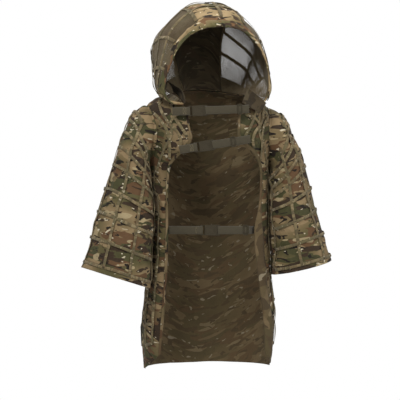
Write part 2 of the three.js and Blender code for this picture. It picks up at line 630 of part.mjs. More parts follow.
function femaleSolid() {
  const mouthHalf = buckleHeight / 2;
  const body = new THREE.Shape();
  body.moveTo(-femaleBody, -mouthHalf + 1.5);
  body.lineTo(-2, -mouthHalf).lineTo(0, -mouthHalf + 2).lineTo(0, mouthHalf - 2).lineTo(-2, mouthHalf);
  body.lineTo(-femaleBody, mouthHalf - 1.5).lineTo(-femaleBody, -mouthHalf + 1.5);
  const frame = plate(roundedShape(-femaleLength, -mouthHalf + 1, -femaleBody + 2, mouthHalf - 1, 2), -2, 2, 0.4);
  const slot = block([-femaleLength + barDepth, -3, -railInner], [-femaleBody - 1, 3, railInner]);
  const inside = buckleThick / 2 - buckleWall;
  const cavity = block([-28, -inside, -mouthHalf + 3], [1, inside, mouthHalf - 3]);
  const windows = block([-25, -inside, -mouthHalf - 1], [-12, inside, mouthHalf + 1]);
  return plate(body, -buckleThick / 2, buckleThick / 2, 0.8).add(frame.subtract(slot)).subtract(cavity).subtract(windows);
}
const barStart = 8.2;              // from the mouth to the male half's webbing bar
function maleSolid() {
  const half = buckleHeight / 2;
  const frame = plate(roundedShape(mouthGap, -half, maleFrame, half, 2), -2.4, 2.4, 0.5);
  const slot = block([4, -4, -railInner], [barStart, 4, railInner]);
  const behind = block([barStart + barDepth, -4, -railInner], [maleFrame + 1, 4, railInner]);
  const thin = [-1, 1].map((sign) => block(
    [barStart - 0.1, Math.min(sign * barHalf, sign * 4), -railInner],
    [maleFrame + 1, Math.max(sign * barHalf, sign * 4), railInner],
  ));
  const base = block([mouthGap, -3.8, -half + 3], [4, 3.8, half - 3]);
  const tongue = block([-22, -1.8, -3], [1, 1.8, 3]);
  return joined([frame.subtract(slot).subtract(behind).subtract(thin[0]).subtract(thin[1]), base, tongue]);
}
// A latch arm's outline, as z inwards from the buckle's edge.
const latchOutline = [
  [-0.2, 7.8], [-23.8, 7.8], [-24.4, 3.5], [-21, 0.6], [-12.8, 0.6], [-12.8, 4.4], [-0.2, 4.4],
];
function latchGeometry(sign) {
  const points = latchOutline.map(([x, z]) => new THREE.Vector2(x, sign * (buckleHeight / 2 - z)));
  const shape = new THREE.Shape(points);
  return toGeometry(plate(shape, -2, 2, 0));
}
const sliderHalf = 7.5;            // half its length along the webbing
const sliderTall = webHalf + 4;
function sliderSolid() {
  const front = -runY - strapThick / 2 - strapGap;
  const back = -runY + strapThick / 2 + strapGap;
  const frame = plate(roundedShape(-sliderHalf, -sliderTall, sliderHalf, sliderTall, 2.5), front - 2, back + 1.8, 0.4);
  const channel = block([-sliderHalf - 1, front, -railInner], [sliderHalf + 1, back, railInner]);
  const window = block([-sliderHalf + 2.6, front - 3, -railInner], [sliderHalf - 2.6, front, railInner]);
  const rear = [-1, 1].map((sign) => block(
    [Math.min(sign * 1.5, sign * 9), back, -railInner],
    [Math.max(sign * 1.5, sign * 9), back + 3, railInner],
  ));
  return frame.subtract(channel).subtract(window).subtract(rear[0]).subtract(rear[1]);
}

const sliderTravel = 20;           // how far a slider runs along its webbing towards the buckle
for (const strap of straps) {
  const tilt = THREE.MathUtils.degToRad(strap.tilt);
  const strapY = strap.edge ? -chestDepth + 8 : -chestDepth - 9;
  const group = new THREE.Group();
  group.position.set(strap.mouth, strapY, strap.z);
  group.rotation.y = -tilt;
  garment.add(group);
  const worldX = (x) => strap.mouth + x * Math.cos(tilt);
  const worldZ = (x) => strap.z + x * Math.sin(tilt);
  const over = (side, x) => Math.min(-runY, chestY(side, worldX(x), worldZ(x)) - strapY - strapGap * 2 - strapThick / 2);
  const bar = -femaleLength + barDepth;
  let lead;
  let tail;
  if (strap.edge) {
    const [right, left] = ['right', 'left'].map((side) => edgeAt(side, strap.z));
    const behind = cloth * 1.5 + seamGap * 2 + strapThick;
    const tuck = innerY('right', right[0] - 14, strap.z) + cloth * 1.2 + strapGap + strapThick / 2;
    const local = (line) => line.map(([x, y]) => [x - strap.mouth, y - strapY]);
    lead = local([[right[0] - 14, tuck], [right[0] + 6, right[1] + behind],
      [right[0] + 22, right[1] - 8], [right[0] + 52, right[1] - 34]]);
    lead.push([-femaleLength - 14, -runY], [-femaleLength - 4, -runY]);
    tail = local([[left[0] - 14, left[1] - 12], [left[0] - 7, left[1] + behind - 3],
      [left[0] + 4, left[1] + behind + 3], [left[0] + 18, left[1] + behind + 9]]);
    tail.unshift([strap.slider + 12, -runY]);
  } else {
    const leadX = steps(strap.start - femaleLength, -femaleLength - 4, 5);
    lead = leadX.map((x) => [x, over('right', x)]);
    tail = steps(strap.slider + 12, strap.end, 4).map((x) => [x, over('left', x)]);
  }
  const anchorLine = [...lead, ...turnRound(bar, 1), [bar - 16, runY], [bar - 24, runY]];
  put(`strap_anchor_${strap.name}`, webbing(anchorLine), 'webbing', group);
  put(`buckle_female_${strap.name}`, toGeometry(femaleSolid()), 'moulding', group);
  put(`buckle_male_${strap.name}`, toGeometry(maleSolid()), 'moulding', group);
  put(`latch_arm_top_${strap.name}`, latchGeometry(1), 'moulding', group);
  put(`latch_arm_bottom_${strap.name}`, latchGeometry(-1), 'moulding', group);
  const returnEnd = strap.slider - sliderHalf - sliderTravel - 3;
  const loop = turnRound(barStart, -1);
  const adjustLine = [...tail.reverse(), [strap.slider + 8, -runY], [strap.slider - 12, -runY], ...loop, [returnEnd, runY]];
  put(`strap_adjust_${strap.name}`, webbing(adjustLine), 'webbing', group);
  const slider = put(`slider_${strap.name}`, toGeometry(sliderSolid()), 'moulding', group);
  slider.position.x = strap.slider;
}

export default garment;
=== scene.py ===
"""A hooded camouflage smock with a lattice of tapes, mesh hood sides and three buckled straps.
Lengths in the geometry code are millimetres, and become metres in to_mesh()."""
import bpy
import bmesh
import math
import numpy as np
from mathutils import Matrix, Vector
from mathutils.bvhtree import BVHTree


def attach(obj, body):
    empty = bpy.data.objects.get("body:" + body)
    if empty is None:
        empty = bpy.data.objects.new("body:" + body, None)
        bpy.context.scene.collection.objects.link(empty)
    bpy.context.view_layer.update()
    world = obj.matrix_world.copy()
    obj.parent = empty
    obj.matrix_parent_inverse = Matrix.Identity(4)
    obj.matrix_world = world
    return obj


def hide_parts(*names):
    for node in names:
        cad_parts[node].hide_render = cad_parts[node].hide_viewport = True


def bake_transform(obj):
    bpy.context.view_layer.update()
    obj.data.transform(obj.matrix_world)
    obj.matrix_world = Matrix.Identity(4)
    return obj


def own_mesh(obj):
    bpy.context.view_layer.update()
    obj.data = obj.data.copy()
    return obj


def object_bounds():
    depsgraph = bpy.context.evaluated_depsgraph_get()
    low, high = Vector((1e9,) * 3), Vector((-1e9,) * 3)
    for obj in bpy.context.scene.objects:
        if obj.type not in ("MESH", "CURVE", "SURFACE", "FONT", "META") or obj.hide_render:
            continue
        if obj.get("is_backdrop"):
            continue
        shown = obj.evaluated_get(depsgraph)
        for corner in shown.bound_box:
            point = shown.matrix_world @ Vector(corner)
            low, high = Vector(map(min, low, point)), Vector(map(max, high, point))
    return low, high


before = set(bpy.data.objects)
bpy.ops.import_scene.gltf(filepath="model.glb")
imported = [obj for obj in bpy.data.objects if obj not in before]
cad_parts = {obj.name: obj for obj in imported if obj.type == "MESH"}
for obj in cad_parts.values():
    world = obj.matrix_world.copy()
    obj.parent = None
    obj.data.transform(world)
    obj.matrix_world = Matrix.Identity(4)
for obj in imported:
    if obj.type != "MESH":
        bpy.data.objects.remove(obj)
cad_box = [list(corner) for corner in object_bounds()]
scene = bpy.context.scene
scene.view_settings.view_transform = "Standard"
scene.view_settings.look = "None"

# ---- camera, world, light ----
AZIMUTH = math.radians(-13)
CAMERA_AWAY, CAMERA_ASIDE, CAMERA_HEIGHT, AIM_HEIGHT = 4.2, -0.0256, -0.358, -0.310
side_way = Vector((math.cos(AZIMUTH), math.sin(AZIMUTH), 0))
front_way = Vector((math.sin(AZIMUTH), -math.cos(AZIMUTH), 0))


def aim(obj, target):
    obj.rotation_euler = (Vector(target) - obj.location).to_track_quat("-Z", "Y").to_euler()


camera = bpy.data.objects.new("camera", bpy.data.cameras.new("camera"))
scene.collection.objects.link(camera)
camera.location = side_way * CAMERA_ASIDE + front_way * CAMERA_AWAY + Vector((0, 0, CAMERA_HEIGHT))
aim(camera, side_way * CAMERA_ASIDE + Vector((0, 0, AIM_HEIGHT)))
camera.data.lens = 118.1
camera.data.sensor_width = 36
scene.camera = camera

world = bpy.data.worlds.new("studio")
world.use_nodes = True
scene.world = world
tree = world.node_tree
tree.nodes.clear()
out, mix, path, lit, seen = [
    tree.nodes.new("ShaderNode" + kind)
    for kind in ("OutputWorld", "MixShader", "LightPath", "Background", "Background")
]
for background, strength in ((lit, 0.42), (seen, 1.0)):
    background.inputs["Color"].default_value = (1, 1, 1, 1)
    background.inputs["Strength"].default_value = strength
tree.links.new(path.outputs["Is Camera Ray"], mix.inputs[0])
tree.links.new(lit.outputs[0], mix.inputs[1])
tree.links.new(seen.outputs[0], mix.inputs[2])
tree.links.new(mix.outputs[0], out.inputs["Surface"])


def soft_light(name, location, size, power, target=(0, 0, -0.3)):
    data = bpy.data.lights.new(name, "AREA")
    data.shape = "DISK"
    data.size = size
    data.energy = power
    lamp = bpy.data.objects.new(name, data)
    lamp.location = location
    scene.collection.objects.link(lamp)
    aim(lamp, target)


soft_light("key", (-1.5, -2.4, 2.2), 1.1, 78)
soft_light("fill", (2.4, -2.2, 0.9), 1.5, 30)
soft_light("top", (0.2, 0.6, 2.6), 1.6, 30)

# ---- shared arithmetic ----


def lerp(a, b, t):
    return a + (b - a) * t


def smoothstep(x, low, high):
    t = np.clip((np.asarray(x, float) - low) / (high - low), 0, 1)
    return t * t * (3 - 2 * t)


def spline(knots, t):
    knots = np.asarray(knots, float)
    last = len(knots) - 1
    t = np.asarray(t, float)
    i = np.clip(np.floor(t).astype(int), 0, last - 1)
    f = (t - i)[..., None]
    a, b, c, d = knots[np.maximum(i - 1, 0)], knots[i], knots[i + 1], knots[np.minimum(i + 2, last)]
    slope0, slope1, rise = (c - a) / 2, (d - b) / 2, c - b
    return b + f * (slope0 + f * (3 * rise - 2 * slope0 - slope1 + f * (slope0 + slope1 - 2 * rise)))


def bezier(p, t):
    t = np.asarray(t, float)[..., None]
    s = 1 - t
    return s ** 3 * p[0] + 3 * s * s * t * p[1] + 3 * s * t * t * p[2] + t ** 3 * p[3]


def unit(v):
    return v / np.maximum(np.linalg.norm(v, axis=-1, keepdims=True), 1e-9)


TABLE_ROWS, TABLE_COLUMNS = 97, 89


def noise(x, y, seed):
    """Smooth value noise from -1 to 1."""
    table = np.random.RandomState(seed).rand(TABLE_ROWS, TABLE_COLUMNS) * 2 - 1
    i, j = np.floor(x).astype(int), np.floor(y).astype(int)
    fx, fy = x - i, y - j
    fx, fy = [f * f * f * (f * (6 * f - 15) + 10) for f in (fx, fy)]

    def at(a, b):
        return table[a % TABLE_ROWS, b % TABLE_COLUMNS]
    low = lerp(at(i, j), at(i + 1, j), fx)
    high = lerp(at(i, j + 1), at(i + 1, j + 1), fx)
    return lerp(low, high, fy)


def wrinkle(u, w, seed, size=1.0):
    """Height in mm of the cloth's creases at u across and w down, in metres."""
    du = u + 0.014 * noise(u / 0.06, w / 0.07, seed + 1)
    dw = w + 0.014 * noise(u / 0.07, w / 0.06, seed + 2)
    broad = 1 - 2 * np.abs(noise(du / 0.10, dw / 0.13, seed + 3))
    fine = 1 - 2 * np.abs(noise(du / 0.038, dw / 0.05, seed + 4))
    grain = noise(u / 0.014, w / 0.016, seed + 5)
    return size * (2.4 * broad + 1.1 * fine + 0.35 * grain)


def run_length(points):
    """Length in mm along a line of points, at each of them."""
    return np.concatenate([[0], np.linalg.norm(np.diff(points, axis=0), axis=-1).cumsum()])


# ---- shape of the smock, as the solids have it ----
SIGN = {"right": -1, "left": 1}
CLOTH, SEAM_GAP = 3.0, 1.0
SHOULDER, NECK, CHEST, BACK, WAIST, HEM = 200, 120, 130, 132, 188, 208
HEM_DROP, ARM_DROP = 843, 205
FRONT = {"right": 94, "left": 70}


def below(share):
    return -lerp(ARM_DROP, HEM_DROP, share)


side_column = [
    [NECK, -5, 24], [lerp(NECK, SHOULDER, 0.38), 0, 18], [lerp(NECK, SHOULDER, 0.72), 0, 6],
    [SHOULDER - 3, 0, -14], [SHOULDER + 2, 0, -70], [SHOULDER - 2, 0, -130],
    [SHOULDER - 6, 0, -ARM_DROP], [WAIST, 0, below(0.15)], [WAIST, 0, below(0.31)],
    [lerp(WAIST, HEM, 0.55), 0, below(0.54)], [HEM + 3, 0, below(0.76)], [HEM - 4, 0, below(1)],
]
back_column = [
    [0, BACK - 40, 48], [0, BACK - 28, 36], [0, BACK - 14, 8], [0, BACK - 6, -40],
    [0, BACK - 2, -100], [0, BACK, -160], [0, BACK, -ARM_DROP - 30], [0, BACK - 2, below(0.18)],
    [0, BACK, below(0.32)], [0, BACK + 6, below(0.54)], [0, BACK + 12, below(0.76)], [0, BACK + 16, below(1)],
]
R, L = FRONT["right"], FRONT["left"]
edge_column = {
    "right": [
        [R + 10, -CHEST + 14, -22], [R + 3, -CHEST + 6, -45], [R - 4, -CHEST + 1, -85],
        [R - 11, -CHEST, -125], [R + 17, -CHEST + 8, -162], [R + 46, -CHEST + 38, -200],
        [R + 53, -CHEST + 52, -ARM_DROP - 55], [R + 54, -CHEST + 55, below(0.2)],
        [R + 54, -CHEST + 55, below(0.32)], [R + 58, -CHEST + 54, below(0.54)],
        [R + 68, -CHEST + 56, below(0.76)], [R + 76, -CHEST + 64, below(0.92)],
    ],
    "left": [
        [L + 22, -CHEST + 14, -22], [L + 2, -CHEST + 6, -45], [L - 4, -CHEST + 1, -85],
        [L + 1, -CHEST, -125], [L + 44, -CHEST + 12, -158], [L + 75, -CHEST + 40, -200],
        [L + 82, -CHEST + 52, -ARM_DROP - 55], [L + 77, -CHEST + 50, below(0.2)],
        [L + 60, -CHEST + 40, below(0.33)], [L + 74, -CHEST + 46, below(0.53)],
        [L + 95, -CHEST + 58, below(0.76)], [L + 102, -CHEST + 66, below(0.935)],
    ],
}
ROUND = 0.55     # how square the body's section is


def mirrored(p, sign):
    return p * np.array([sign, 1, 1])


def stack(x, y, z):
    return np.stack([x, y, z], -1)


def front_point(side, s, v):
    m, e = spline(side_column, v), spline(edge_column[side], v)
    p1 = stack(m[..., 0], lerp(m[..., 1], e[..., 1], ROUND), lerp(m[..., 2], e[..., 2], 0.25))
    p2 = stack(lerp(e[..., 0], m[..., 0], ROUND), e[..., 1], lerp(m[..., 2], e[..., 2], 0.6))
    return mirrored(bezier([m, p1, p2, e], s), SIGN[side])


def back_point(s, v):
    m, b = spline(side_column, v), spline(back_column, v)
    p1 = stack(m[..., 0], lerp(m[..., 1], b[..., 1], ROUND), lerp(m[..., 2], b[..., 2], 0.3))
    p2 = stack(m[..., 0] * ROUND, b[..., 1], lerp(m[..., 2], b[..., 2], 0.9))
    p = bezier([b, p2, p1, m], np.abs(s))
    p[..., 0] *= np.where(np.asarray(s) < 0, -1, 1)
    return p


# The armhole is an ellipse about the side seam. Near it a unit of share across, and of v down, is so many mm.
ARM_MIDDLE, ARM_HALF, ARM_REACH = 4.5, 1.5, 0.42
MM_ACROSS, MM_DOWN = 200, 65
SEAM_SHARE = SEAM_GAP / MM_ACROSS


def notch(v):
    h = np.clip(np.abs((v - ARM_MIDDLE) / ARM_HALF), 0, 1)
    return ARM_REACH * np.sqrt(1 - h * h)


def v_at_drop(drop):
    fine = np.linspace(0, 11, 2201)
    return np.interp(drop, -spline(side_column, fine)[:, 2], fine)


def sleeve_columns(side):
    out_x, out_drop, in_x, in_drop = {"right": (412, 520, 207, 586), "left": (385, 502, 200, 548)}[side]
    elbow, out_hem = np.array([SHOULDER + 91, -30, -146.0]), np.array([out_x, -50, -out_drop])
    under = np.array([SHOULDER - 10, -38, -lerp(ARM_DROP, in_drop, 0.4)])
    inner_hem = np.array([in_x, -50, -in_drop])
    outer = [
        [SHOULDER, 0, -2], [SHOULDER + 25, -5, -17], [SHOULDER + 46, -12, -43], [SHOULDER + 64, -20, -86],
        elbow, lerp(elbow, out_hem, 0.33), lerp(elbow, out_hem, 0.67), out_hem,
    ]
    inner = [
        [SHOULDER - 3, 0, -ARM_DROP], [SHOULDER - 1, -4, -ARM_DROP - 7], [SHOULDER - 1, -8, -ARM_DROP - 17],
        [SHOULDER - 3, -14, -ARM_DROP - 35], [SHOULDER - 5, -24, -ARM_DROP - 70], under,
        lerp(under, inner_hem, 0.5), inner_hem,
    ]
    return outer, inner, [[h] for h in (80, 82, 84, 86, 88, 92, 98, 106)]


def armhole_edge(side, angle, grow=0.0, lift=CLOTH + 2 * SEAM_GAP):
    """Points round the armhole, grow mm out on to the body and lift mm off it."""
    v = ARM_MIDDLE - (ARM_HALF + grow / MM_DOWN) * np.cos(angle)
    s = (ARM_REACH + grow / MM_ACROSS) * np.abs(np.sin(angle))
    step = 0.004

    def front(a, b):
        return front_point(side, a, b)

    def rear(a, b):
        return back_point(SIGN[side] * (1 - a), b)
    found = []
    for point in (front, rear):
        da = point(s + step, v) - point(s - step, v)
        db = point(s, v + step) - point(s, v - step)
        normal = unit(np.cross(da, db))
        normal = normal * np.sign(normal[..., :1] * SIGN[side])
        found.append(point(s, v) + normal * lift)
    return np.where((np.sin(angle) >= 0)[..., None], found[0], found[1])


def sleeve_point(side, turn, v):
    outer, inner, halves = sleeve_columns(side)
    angle, v = turn * 2 * np.pi, np.maximum(v, 0)
    o, u, half = spline(outer, v), spline(inner, v), spline(halves, v)[..., 0]
    ring = (o + u) / 2 + np.cos(angle)[..., None] * (o - u) / 2
    ring[..., 1] -= np.sin(angle) * half
    return lerp(armhole_edge(side, angle), mirrored(ring, SIGN[side]), smoothstep(v, 0, 2)[..., None])


BRIM, RISE, TURN = 152, 390, math.radians(5)
hood_rim = [
    [0, -BRIM, 226], [48, -BRIM + 4, 222], [92, -BRIM + 16, 205], [126, -BRIM + 26, 174],
    [152, -BRIM + 32, 130], [166, -BRIM + 35, 78], [168, -BRIM + 37, 25], [146, -BRIM + 34, -10],
    [112, -BRIM + 31, -16],
]
hood_front = [
    [0, -62, RISE], [55, -60, RISE - 8], [108, -56, RISE - 55], [160, -55, RISE - 128],
    [176, -55, RISE - 200], [192, -60, RISE - 278], [196, -68, RISE - 345], [170, -90, RISE - 385],
    [113, -118, RISE - 402],
]
hood_back = [
    [0, 262, 345], [58, 262, 340], [125, 225, 290], [205, 170, 210], [206, 110, 140], [208, 55, 92],
    [202, -5, 55], [165, -60, 20], [109, -114, -14],
]
HALF_NECK = 8          # u at the hood's front corner
BACK_OF_NECK = 0.56    # share of the neckline that runs along the back


def neckline(side, u, v=0.0):
    share = np.asarray(u, float) / HALF_NECK
    v = np.full_like(share, v)
    rear = back_point(SIGN[side] * np.minimum(share / BACK_OF_NECK, 1), v)
    along_front = np.clip((share - BACK_OF_NECK) / (1 - BACK_OF_NECK), 0, 1) * 0.985
    return np.where((share < BACK_OF_NECK)[..., None], rear, front_point(side, along_front, v))


def hood_point(u, t):
    u, t = np.broadcast_arrays(np.asarray(u, float), np.asarray(t, float))
    whole = None
    for side in SIGN:
        along = np.minimum(np.abs(u), 8)
        neck = neckline(side, along)
        corner = neckline(side, np.array([8.0]))[0, 0] - SIGN[side] * hood_back[-1][0]
        rows = []
        for row in (hood_rim, hood_front, hood_back):
            p = mirrored(spline(row, along), SIGN[side])
            turn = TURN * smoothstep(p[..., 2], 0, RISE * 0.35)
            x = p[..., 0] * np.cos(turn) - p[..., 1] * np.sin(turn)
            y = p[..., 0] * np.sin(turn) + p[..., 1] * np.cos(turn)
            rows.append(stack(x + corner * np.clip(along - 7, 0, 1), y, p[..., 2]))
        neck[..., 2] += lerp(CLOTH, 2 * CLOTH, smoothstep(along, 7, 8)) + SEAM_GAP
        p = bezier([*rows, neck], t)
        whole = p if whole is None else np.where((u < 0)[..., None], whole, p)
    return whole


# ---- meshes ----
ROOT = "smock"


def to_mesh(name, verts, faces, uvs=None, materials=(), smooth=True):
    """An object from points in mm and faces. uvs is one pair per point, in metres."""
    mesh = bpy.data.meshes.new(name)
    verts = np.asarray(verts, float).reshape(-1, 3) / 1000
    faces = np.asarray(faces, int)
    mesh.from_pydata(verts.tolist(), [], faces.tolist())
    if uvs is not None:
        layer = mesh.uv_layers.new(name="metric")
        loops = np.zeros(len(mesh.loops), int)
        mesh.loops.foreach_get("vertex_index", loops)
        layer.data.foreach_set("uv", np.asarray(uvs, float).reshape(-1, 2)[loops].ravel())
    for material in materials:
        mesh.materials.append(material)
    mesh.polygons.foreach_set("use_smooth", [smooth] * len(mesh.polygons))
    mesh.update()
    obj = bpy.data.objects.new(name, mesh)
    scene.collection.objects.link(obj)
    return obj


def grid_faces(rows, columns, ring=False):
    spans = columns if ring else columns - 1
    i, j = np.meshgrid(np.arange(rows - 1), np.arange(spans), indexing="ij")
    k = (j + 1) % columns
    corners = [i * columns + j, (i + 1) * columns + j, (i + 1) * columns + k, i * columns + k]
    return np.stack(corners, -1).reshape(-1, 4)


def normals_of(p, outward, ring=False):
    """Unit normals of a grid of points, turned the way outward, a point of the same grid's outside."""
    if ring:
        da = np.roll(p, -1, 1) - np.roll(p, 1, 1)
    else:
        da = np.gradient(p, axis=1)
    n = unit(np.cross(da, np.gradient(p, axis=0)))
    return n * np.where(np.sum(n * outward, -1, keepdims=True).mean() < 0, -1, 1)


def apply_all(obj):
    """Replaces the object's mesh with the one its modifiers make."""
    graph = bpy.context.evaluated_depsgraph_get()
    made = bpy.data.meshes.new_from_object(obj.evaluated_get(graph), depsgraph=graph)
    obj.modifiers.clear()
    obj.data = made
    return obj


def thicken(obj, thickness, inner=None):
    """Gives a sheet its thickness, inwards. inner is the index of the reverse side's material."""
    bpy.context.view_layer.update()
    mod = obj.modifiers.new("thickness", "SOLIDIFY")
    mod.thickness = thickness / 1000
    mod.offset = -1
    if inner is not None:
        mod.material_offset = inner
    return apply_all(obj)


def grid_area(p):
    """Area in square metres of a grid of points in mm."""
    a, b = p[1:, 1:] - p[:-1, :-1], p[1:, :-1] - p[:-1, 1:]
    return np.linalg.norm(np.cross(a, b), axis=-1).sum() / 2e6


def declare(obj, size, area):
    """Rounds the width and length in metres of a sheet's flat cut and keeps nothing; the sheet and the area are not
    used.
    """
    width, length = [round(float(x), 3) for x in size]


CLOTH_THICK = 1.2


class Panel:
    """A grid of cloth: points, normals and flat coordinates, with samples at any row and column."""

    def __init__(self, points, outward, ring=False):
        self.p, self.ring = points, ring
        self.n = normals_of(points, outward, ring)
        along = np.linalg.norm(np.diff(points, axis=1), axis=-1).cumsum(1) / 1000
        self.u = np.concatenate([np.zeros((len(points), 1)), along], 1)
        self.u -= self.u[:, -1:] / 2
        down = np.linalg.norm(np.diff(points, axis=0), axis=-1).cumsum(0) / 1000
        self.w = np.concatenate([np.zeros((1, points.shape[1])), down], 0)

    def area(self):
        return grid_area(np.concatenate([self.p, self.p[:, :1]], 1) if self.ring else self.p)

    def size(self):
        """Width and length of the flat cut in metres."""
        around = np.linalg.norm(self.p[:, 0] - self.p[:, -1], axis=-1) / 1000 if self.ring else 0.0
        return (self.u[:, -1] - self.u[:, 0] + around).max(), self.w[-1].max()

    def raise_by(self, height):
        self.p = self.p + self.n * height[..., None]
        self.n = normals_of(self.p, self.n, self.ring)

    def at(self, row, column):
        """Point and normal at fractional row and column shares from 0 to 1."""
        rows, columns = self.p.shape[:2]
        r = np.clip(np.asarray(row, float), 0, 1) * (rows - 1)
        c = np.asarray(column, float) * (columns if self.ring else columns - 1)
        if not self.ring:
            c = np.clip(c, 0, columns - 1)
        i, j = np.minimum(np.floor(r).astype(int), rows - 2), np.floor(c).astype(int)
        if not self.ring:
            j = np.minimum(j, columns - 2)
        k = (j + 1) % columns
        fr, fc = (r - i)[..., None], (c - j)[..., None]
        j = j % columns
        out = []
        for a in (self.p, self.n):
            out.append(lerp(lerp(a[i, j], a[i, k], fc), lerp(a[i + 1, j], a[i + 1, k], fc), fr))
        return out[0], unit(out[1])

    def mesh(self, name, materials, offset=(0, 0), upright=0.0):
        """upright is how far the print's rows follow the world's horizontal, from 0 to 1."""
        rows, columns = self.p.shape[:2]
        down = lerp(self.w, -self.p[..., 2] / 1000, upright)
        uv = np.stack([self.u + offset[0], offset[1] - down], -1)
        faces = grid_faces(rows, columns, self.ring)
        first = unit(np.cross(self.p[0, 1] - self.p[0, 0], self.p[1, 0] - self.p[0, 0]))
        if np.dot(first, self.n[0, 0]) > 0:
            faces = faces[:, ::-1]
        obj = to_mesh(name, self.p, faces, uv, materials)
        return thicken(obj, CLOTH_THICK, 1 if len(materials) > 1 else None)


def camo_piece(name, panel, node, materials, offset, upright=0.0):
    """A panel's cloth as a piece of its own, in place of a solid."""
    obj = panel.mesh(name, materials, offset, upright)
    if node:
        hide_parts(node)
    declare(obj, panel.size(), panel.area())
    return obj


HALF_SECTION = [[-0.5, 0], [-0.44, 0.45], [0, 0.5], [0.44, 0.45]]


def ribbon(points, normals, width, thickness, twist=None, start=0.0):
    """A flat tape with soft edges along a line: its points, faces and flat coordinates."""
    tangent = unit(np.gradient(points, axis=0))
    across = unit(np.cross(normals, tangent))
    up = unit(np.cross(tangent, across))
    if twist is not None:
        c, s = np.cos(twist)[:, None], np.sin(twist)[:, None]
        across, up = across * c + up * s, up * c - across * s
    section = np.array(HALF_SECTION + [[-x, -y] for x, y in HALF_SECTION])
    ring = len(section)
    verts = (points[:, None] + across[:, None] * section[None, :, :1] * width
             + up[:, None] * section[None, :, 1:] * thickness).reshape(-1, 3)
    faces = grid_faces(len(points), ring, True).tolist()
    last = (len(points) - 1) * ring
    caps = [[0, 1, 2, 3], [0, 3, 4, 7], [7, 4, 5, 6]]
    faces += caps + [[last + k for k in reversed(c)] for c in caps]
    length = start + run_length(points) / 1000
    uv = np.stack(np.broadcast_arrays(section[None, :, 0] * width / 1000, length[:, None]), -1).reshape(-1, 2)
    return verts, np.array(faces), uv


def merged(name, parts, material, smooth=True):
    """One piece made of small parts, each its points, faces and flat coordinates."""
    bases = np.cumsum([0] + [len(part[0]) for part in parts])
    faces = np.concatenate([part[1] + base for part, base in zip(parts, bases)])
    verts, uvs = [np.concatenate([part[k] for part in parts]) for k in (0, 2)]
    obj = to_mesh(name, verts, faces, uvs, [material], smooth)
    return obj


def bar(point, along, up, length, width, height):
    """A small raised bar of thread on a surface."""
    across = unit(np.cross(up, along))
    corners = []
    for h, share in ((-0.2, 1.0), (0.7, 0.9), (1.0, 0.5)):
        wide, long = width / 2 * share, length / 2 * (0.6 + 0.4 * share)
        for x, y in ((-1, -1), (1, -1), (1, 1), (-1, 1)):
            corners.append(point + along * x * long + across * y * wide + up * h * height)
    faces = [[0, 3, 2, 1], [8, 9, 10, 11]]
    for ring in (0, 4):
        for k in range(4):
            a, b = ring + k, ring + (k + 1) % 4
            faces.append([a, b, b + 4, a + 4])
    return np.array(corners), np.array(faces), np.zeros((12, 2))


# ---- materials ----


def linear(rgb):
    """A colour of 0-255 values as linear RGBA."""
    return tuple((c / 255 / 12.92) if c <= 10 else ((c / 255 + 0.055) / 1.055) ** 2.4 for c in rgb) + (1,)


class Graph:
    """A material's node tree, built call by call. Most calls give back the socket they make."""

    def __init__(self, name):
        self.material = bpy.data.materials.new(name)
        self.material.use_nodes = True
        self.tree = self.material.node_tree
        self.tree.nodes.clear()
        self.shader = self.node("BsdfPrincipled")
        self.node("OutputMaterial", {"Surface": self.shader.outputs[0]})

    def put(self, node, inputs):
        """Links each input to a socket, or sets it to a value."""
        for key, value in inputs.items():
            if isinstance(value, bpy.types.NodeSocket):
                self.tree.links.new(value, node.inputs[key])
            elif value is not None:
                node.inputs[key].default_value = value

    def node(self, kind, inputs=None, **settings):
        made = self.tree.nodes.new("ShaderNode" + kind)
        for key, value in settings.items():
            setattr(made, key, value)
        self.put(made, inputs or {})
        return made

    def flat(self):
        return self.node("UVMap", uv_map="metric").outputs[0]

    def space(self):
        return self.node("TexCoord").outputs["Object"]

    def place(self, vector, shift, scale=(1, 1, 1)):
        return self.node("Mapping", {"Vector": vector, "Location": shift, "Scale": scale}).outputs[0]

    def noise(self, vector, scale, detail=2.0, rough=0.5, distortion=0.0):
        return self.node("TexNoise", {
            "Vector": vector, "Scale": scale, "Detail": detail, "Roughness": rough, "Distortion": distortion,
        }).outputs["Fac"]

    def wave(self, vector, scale, direction):
        inputs = {"Vector": vector, "Scale": scale}
        return self.node("TexWave", inputs, bands_direction=direction).outputs["Fac"]

    def ramp(self, fac, stops):
        made = self.node("ValToRGB", {"Fac": fac})
        elements = made.color_ramp.elements
        while len(elements) < len(stops):
            elements.new(0.5)
        for element, (where, colour) in zip(elements, stops):
            element.position = where
            element.color = colour
        return made.outputs["Color"]

    def step(self, fac, low, high):
        """0 below low, 1 above high."""
        inputs = {"Value": fac, "From Min": low, "From Max": high}
        return self.node("MapRange", inputs, interpolation_type="SMOOTHSTEP").outputs["Result"]

    def mix(self, fac, a, b, blend="MIX"):
        inputs = {"Factor": fac, "A": a, "B": b}
        return self.node("Mix", inputs, data_type="RGBA", blend_type=blend).outputs["Result"]

    def math(self, kind, a, b=0.0):
        return self.node("Math", {0: a, 1: b}, operation=kind).outputs[0]

    def bump(self, height, strength, distance, normal=None):
        return self.node("Bump", {
            "Height": height, "Strength": strength, "Distance": distance, "Normal": normal,
        }).outputs[0]

    def finish(self, colour, roughness, normal=None, sheen=0.0):
        self.put(self.shader, {
            "Base Color": colour, "Roughness": roughness, "Normal": normal, "Sheen Weight": sheen,
            "Sheen Roughness": 0.5, "Specular IOR Level": 0.3,
        })
        return self.material


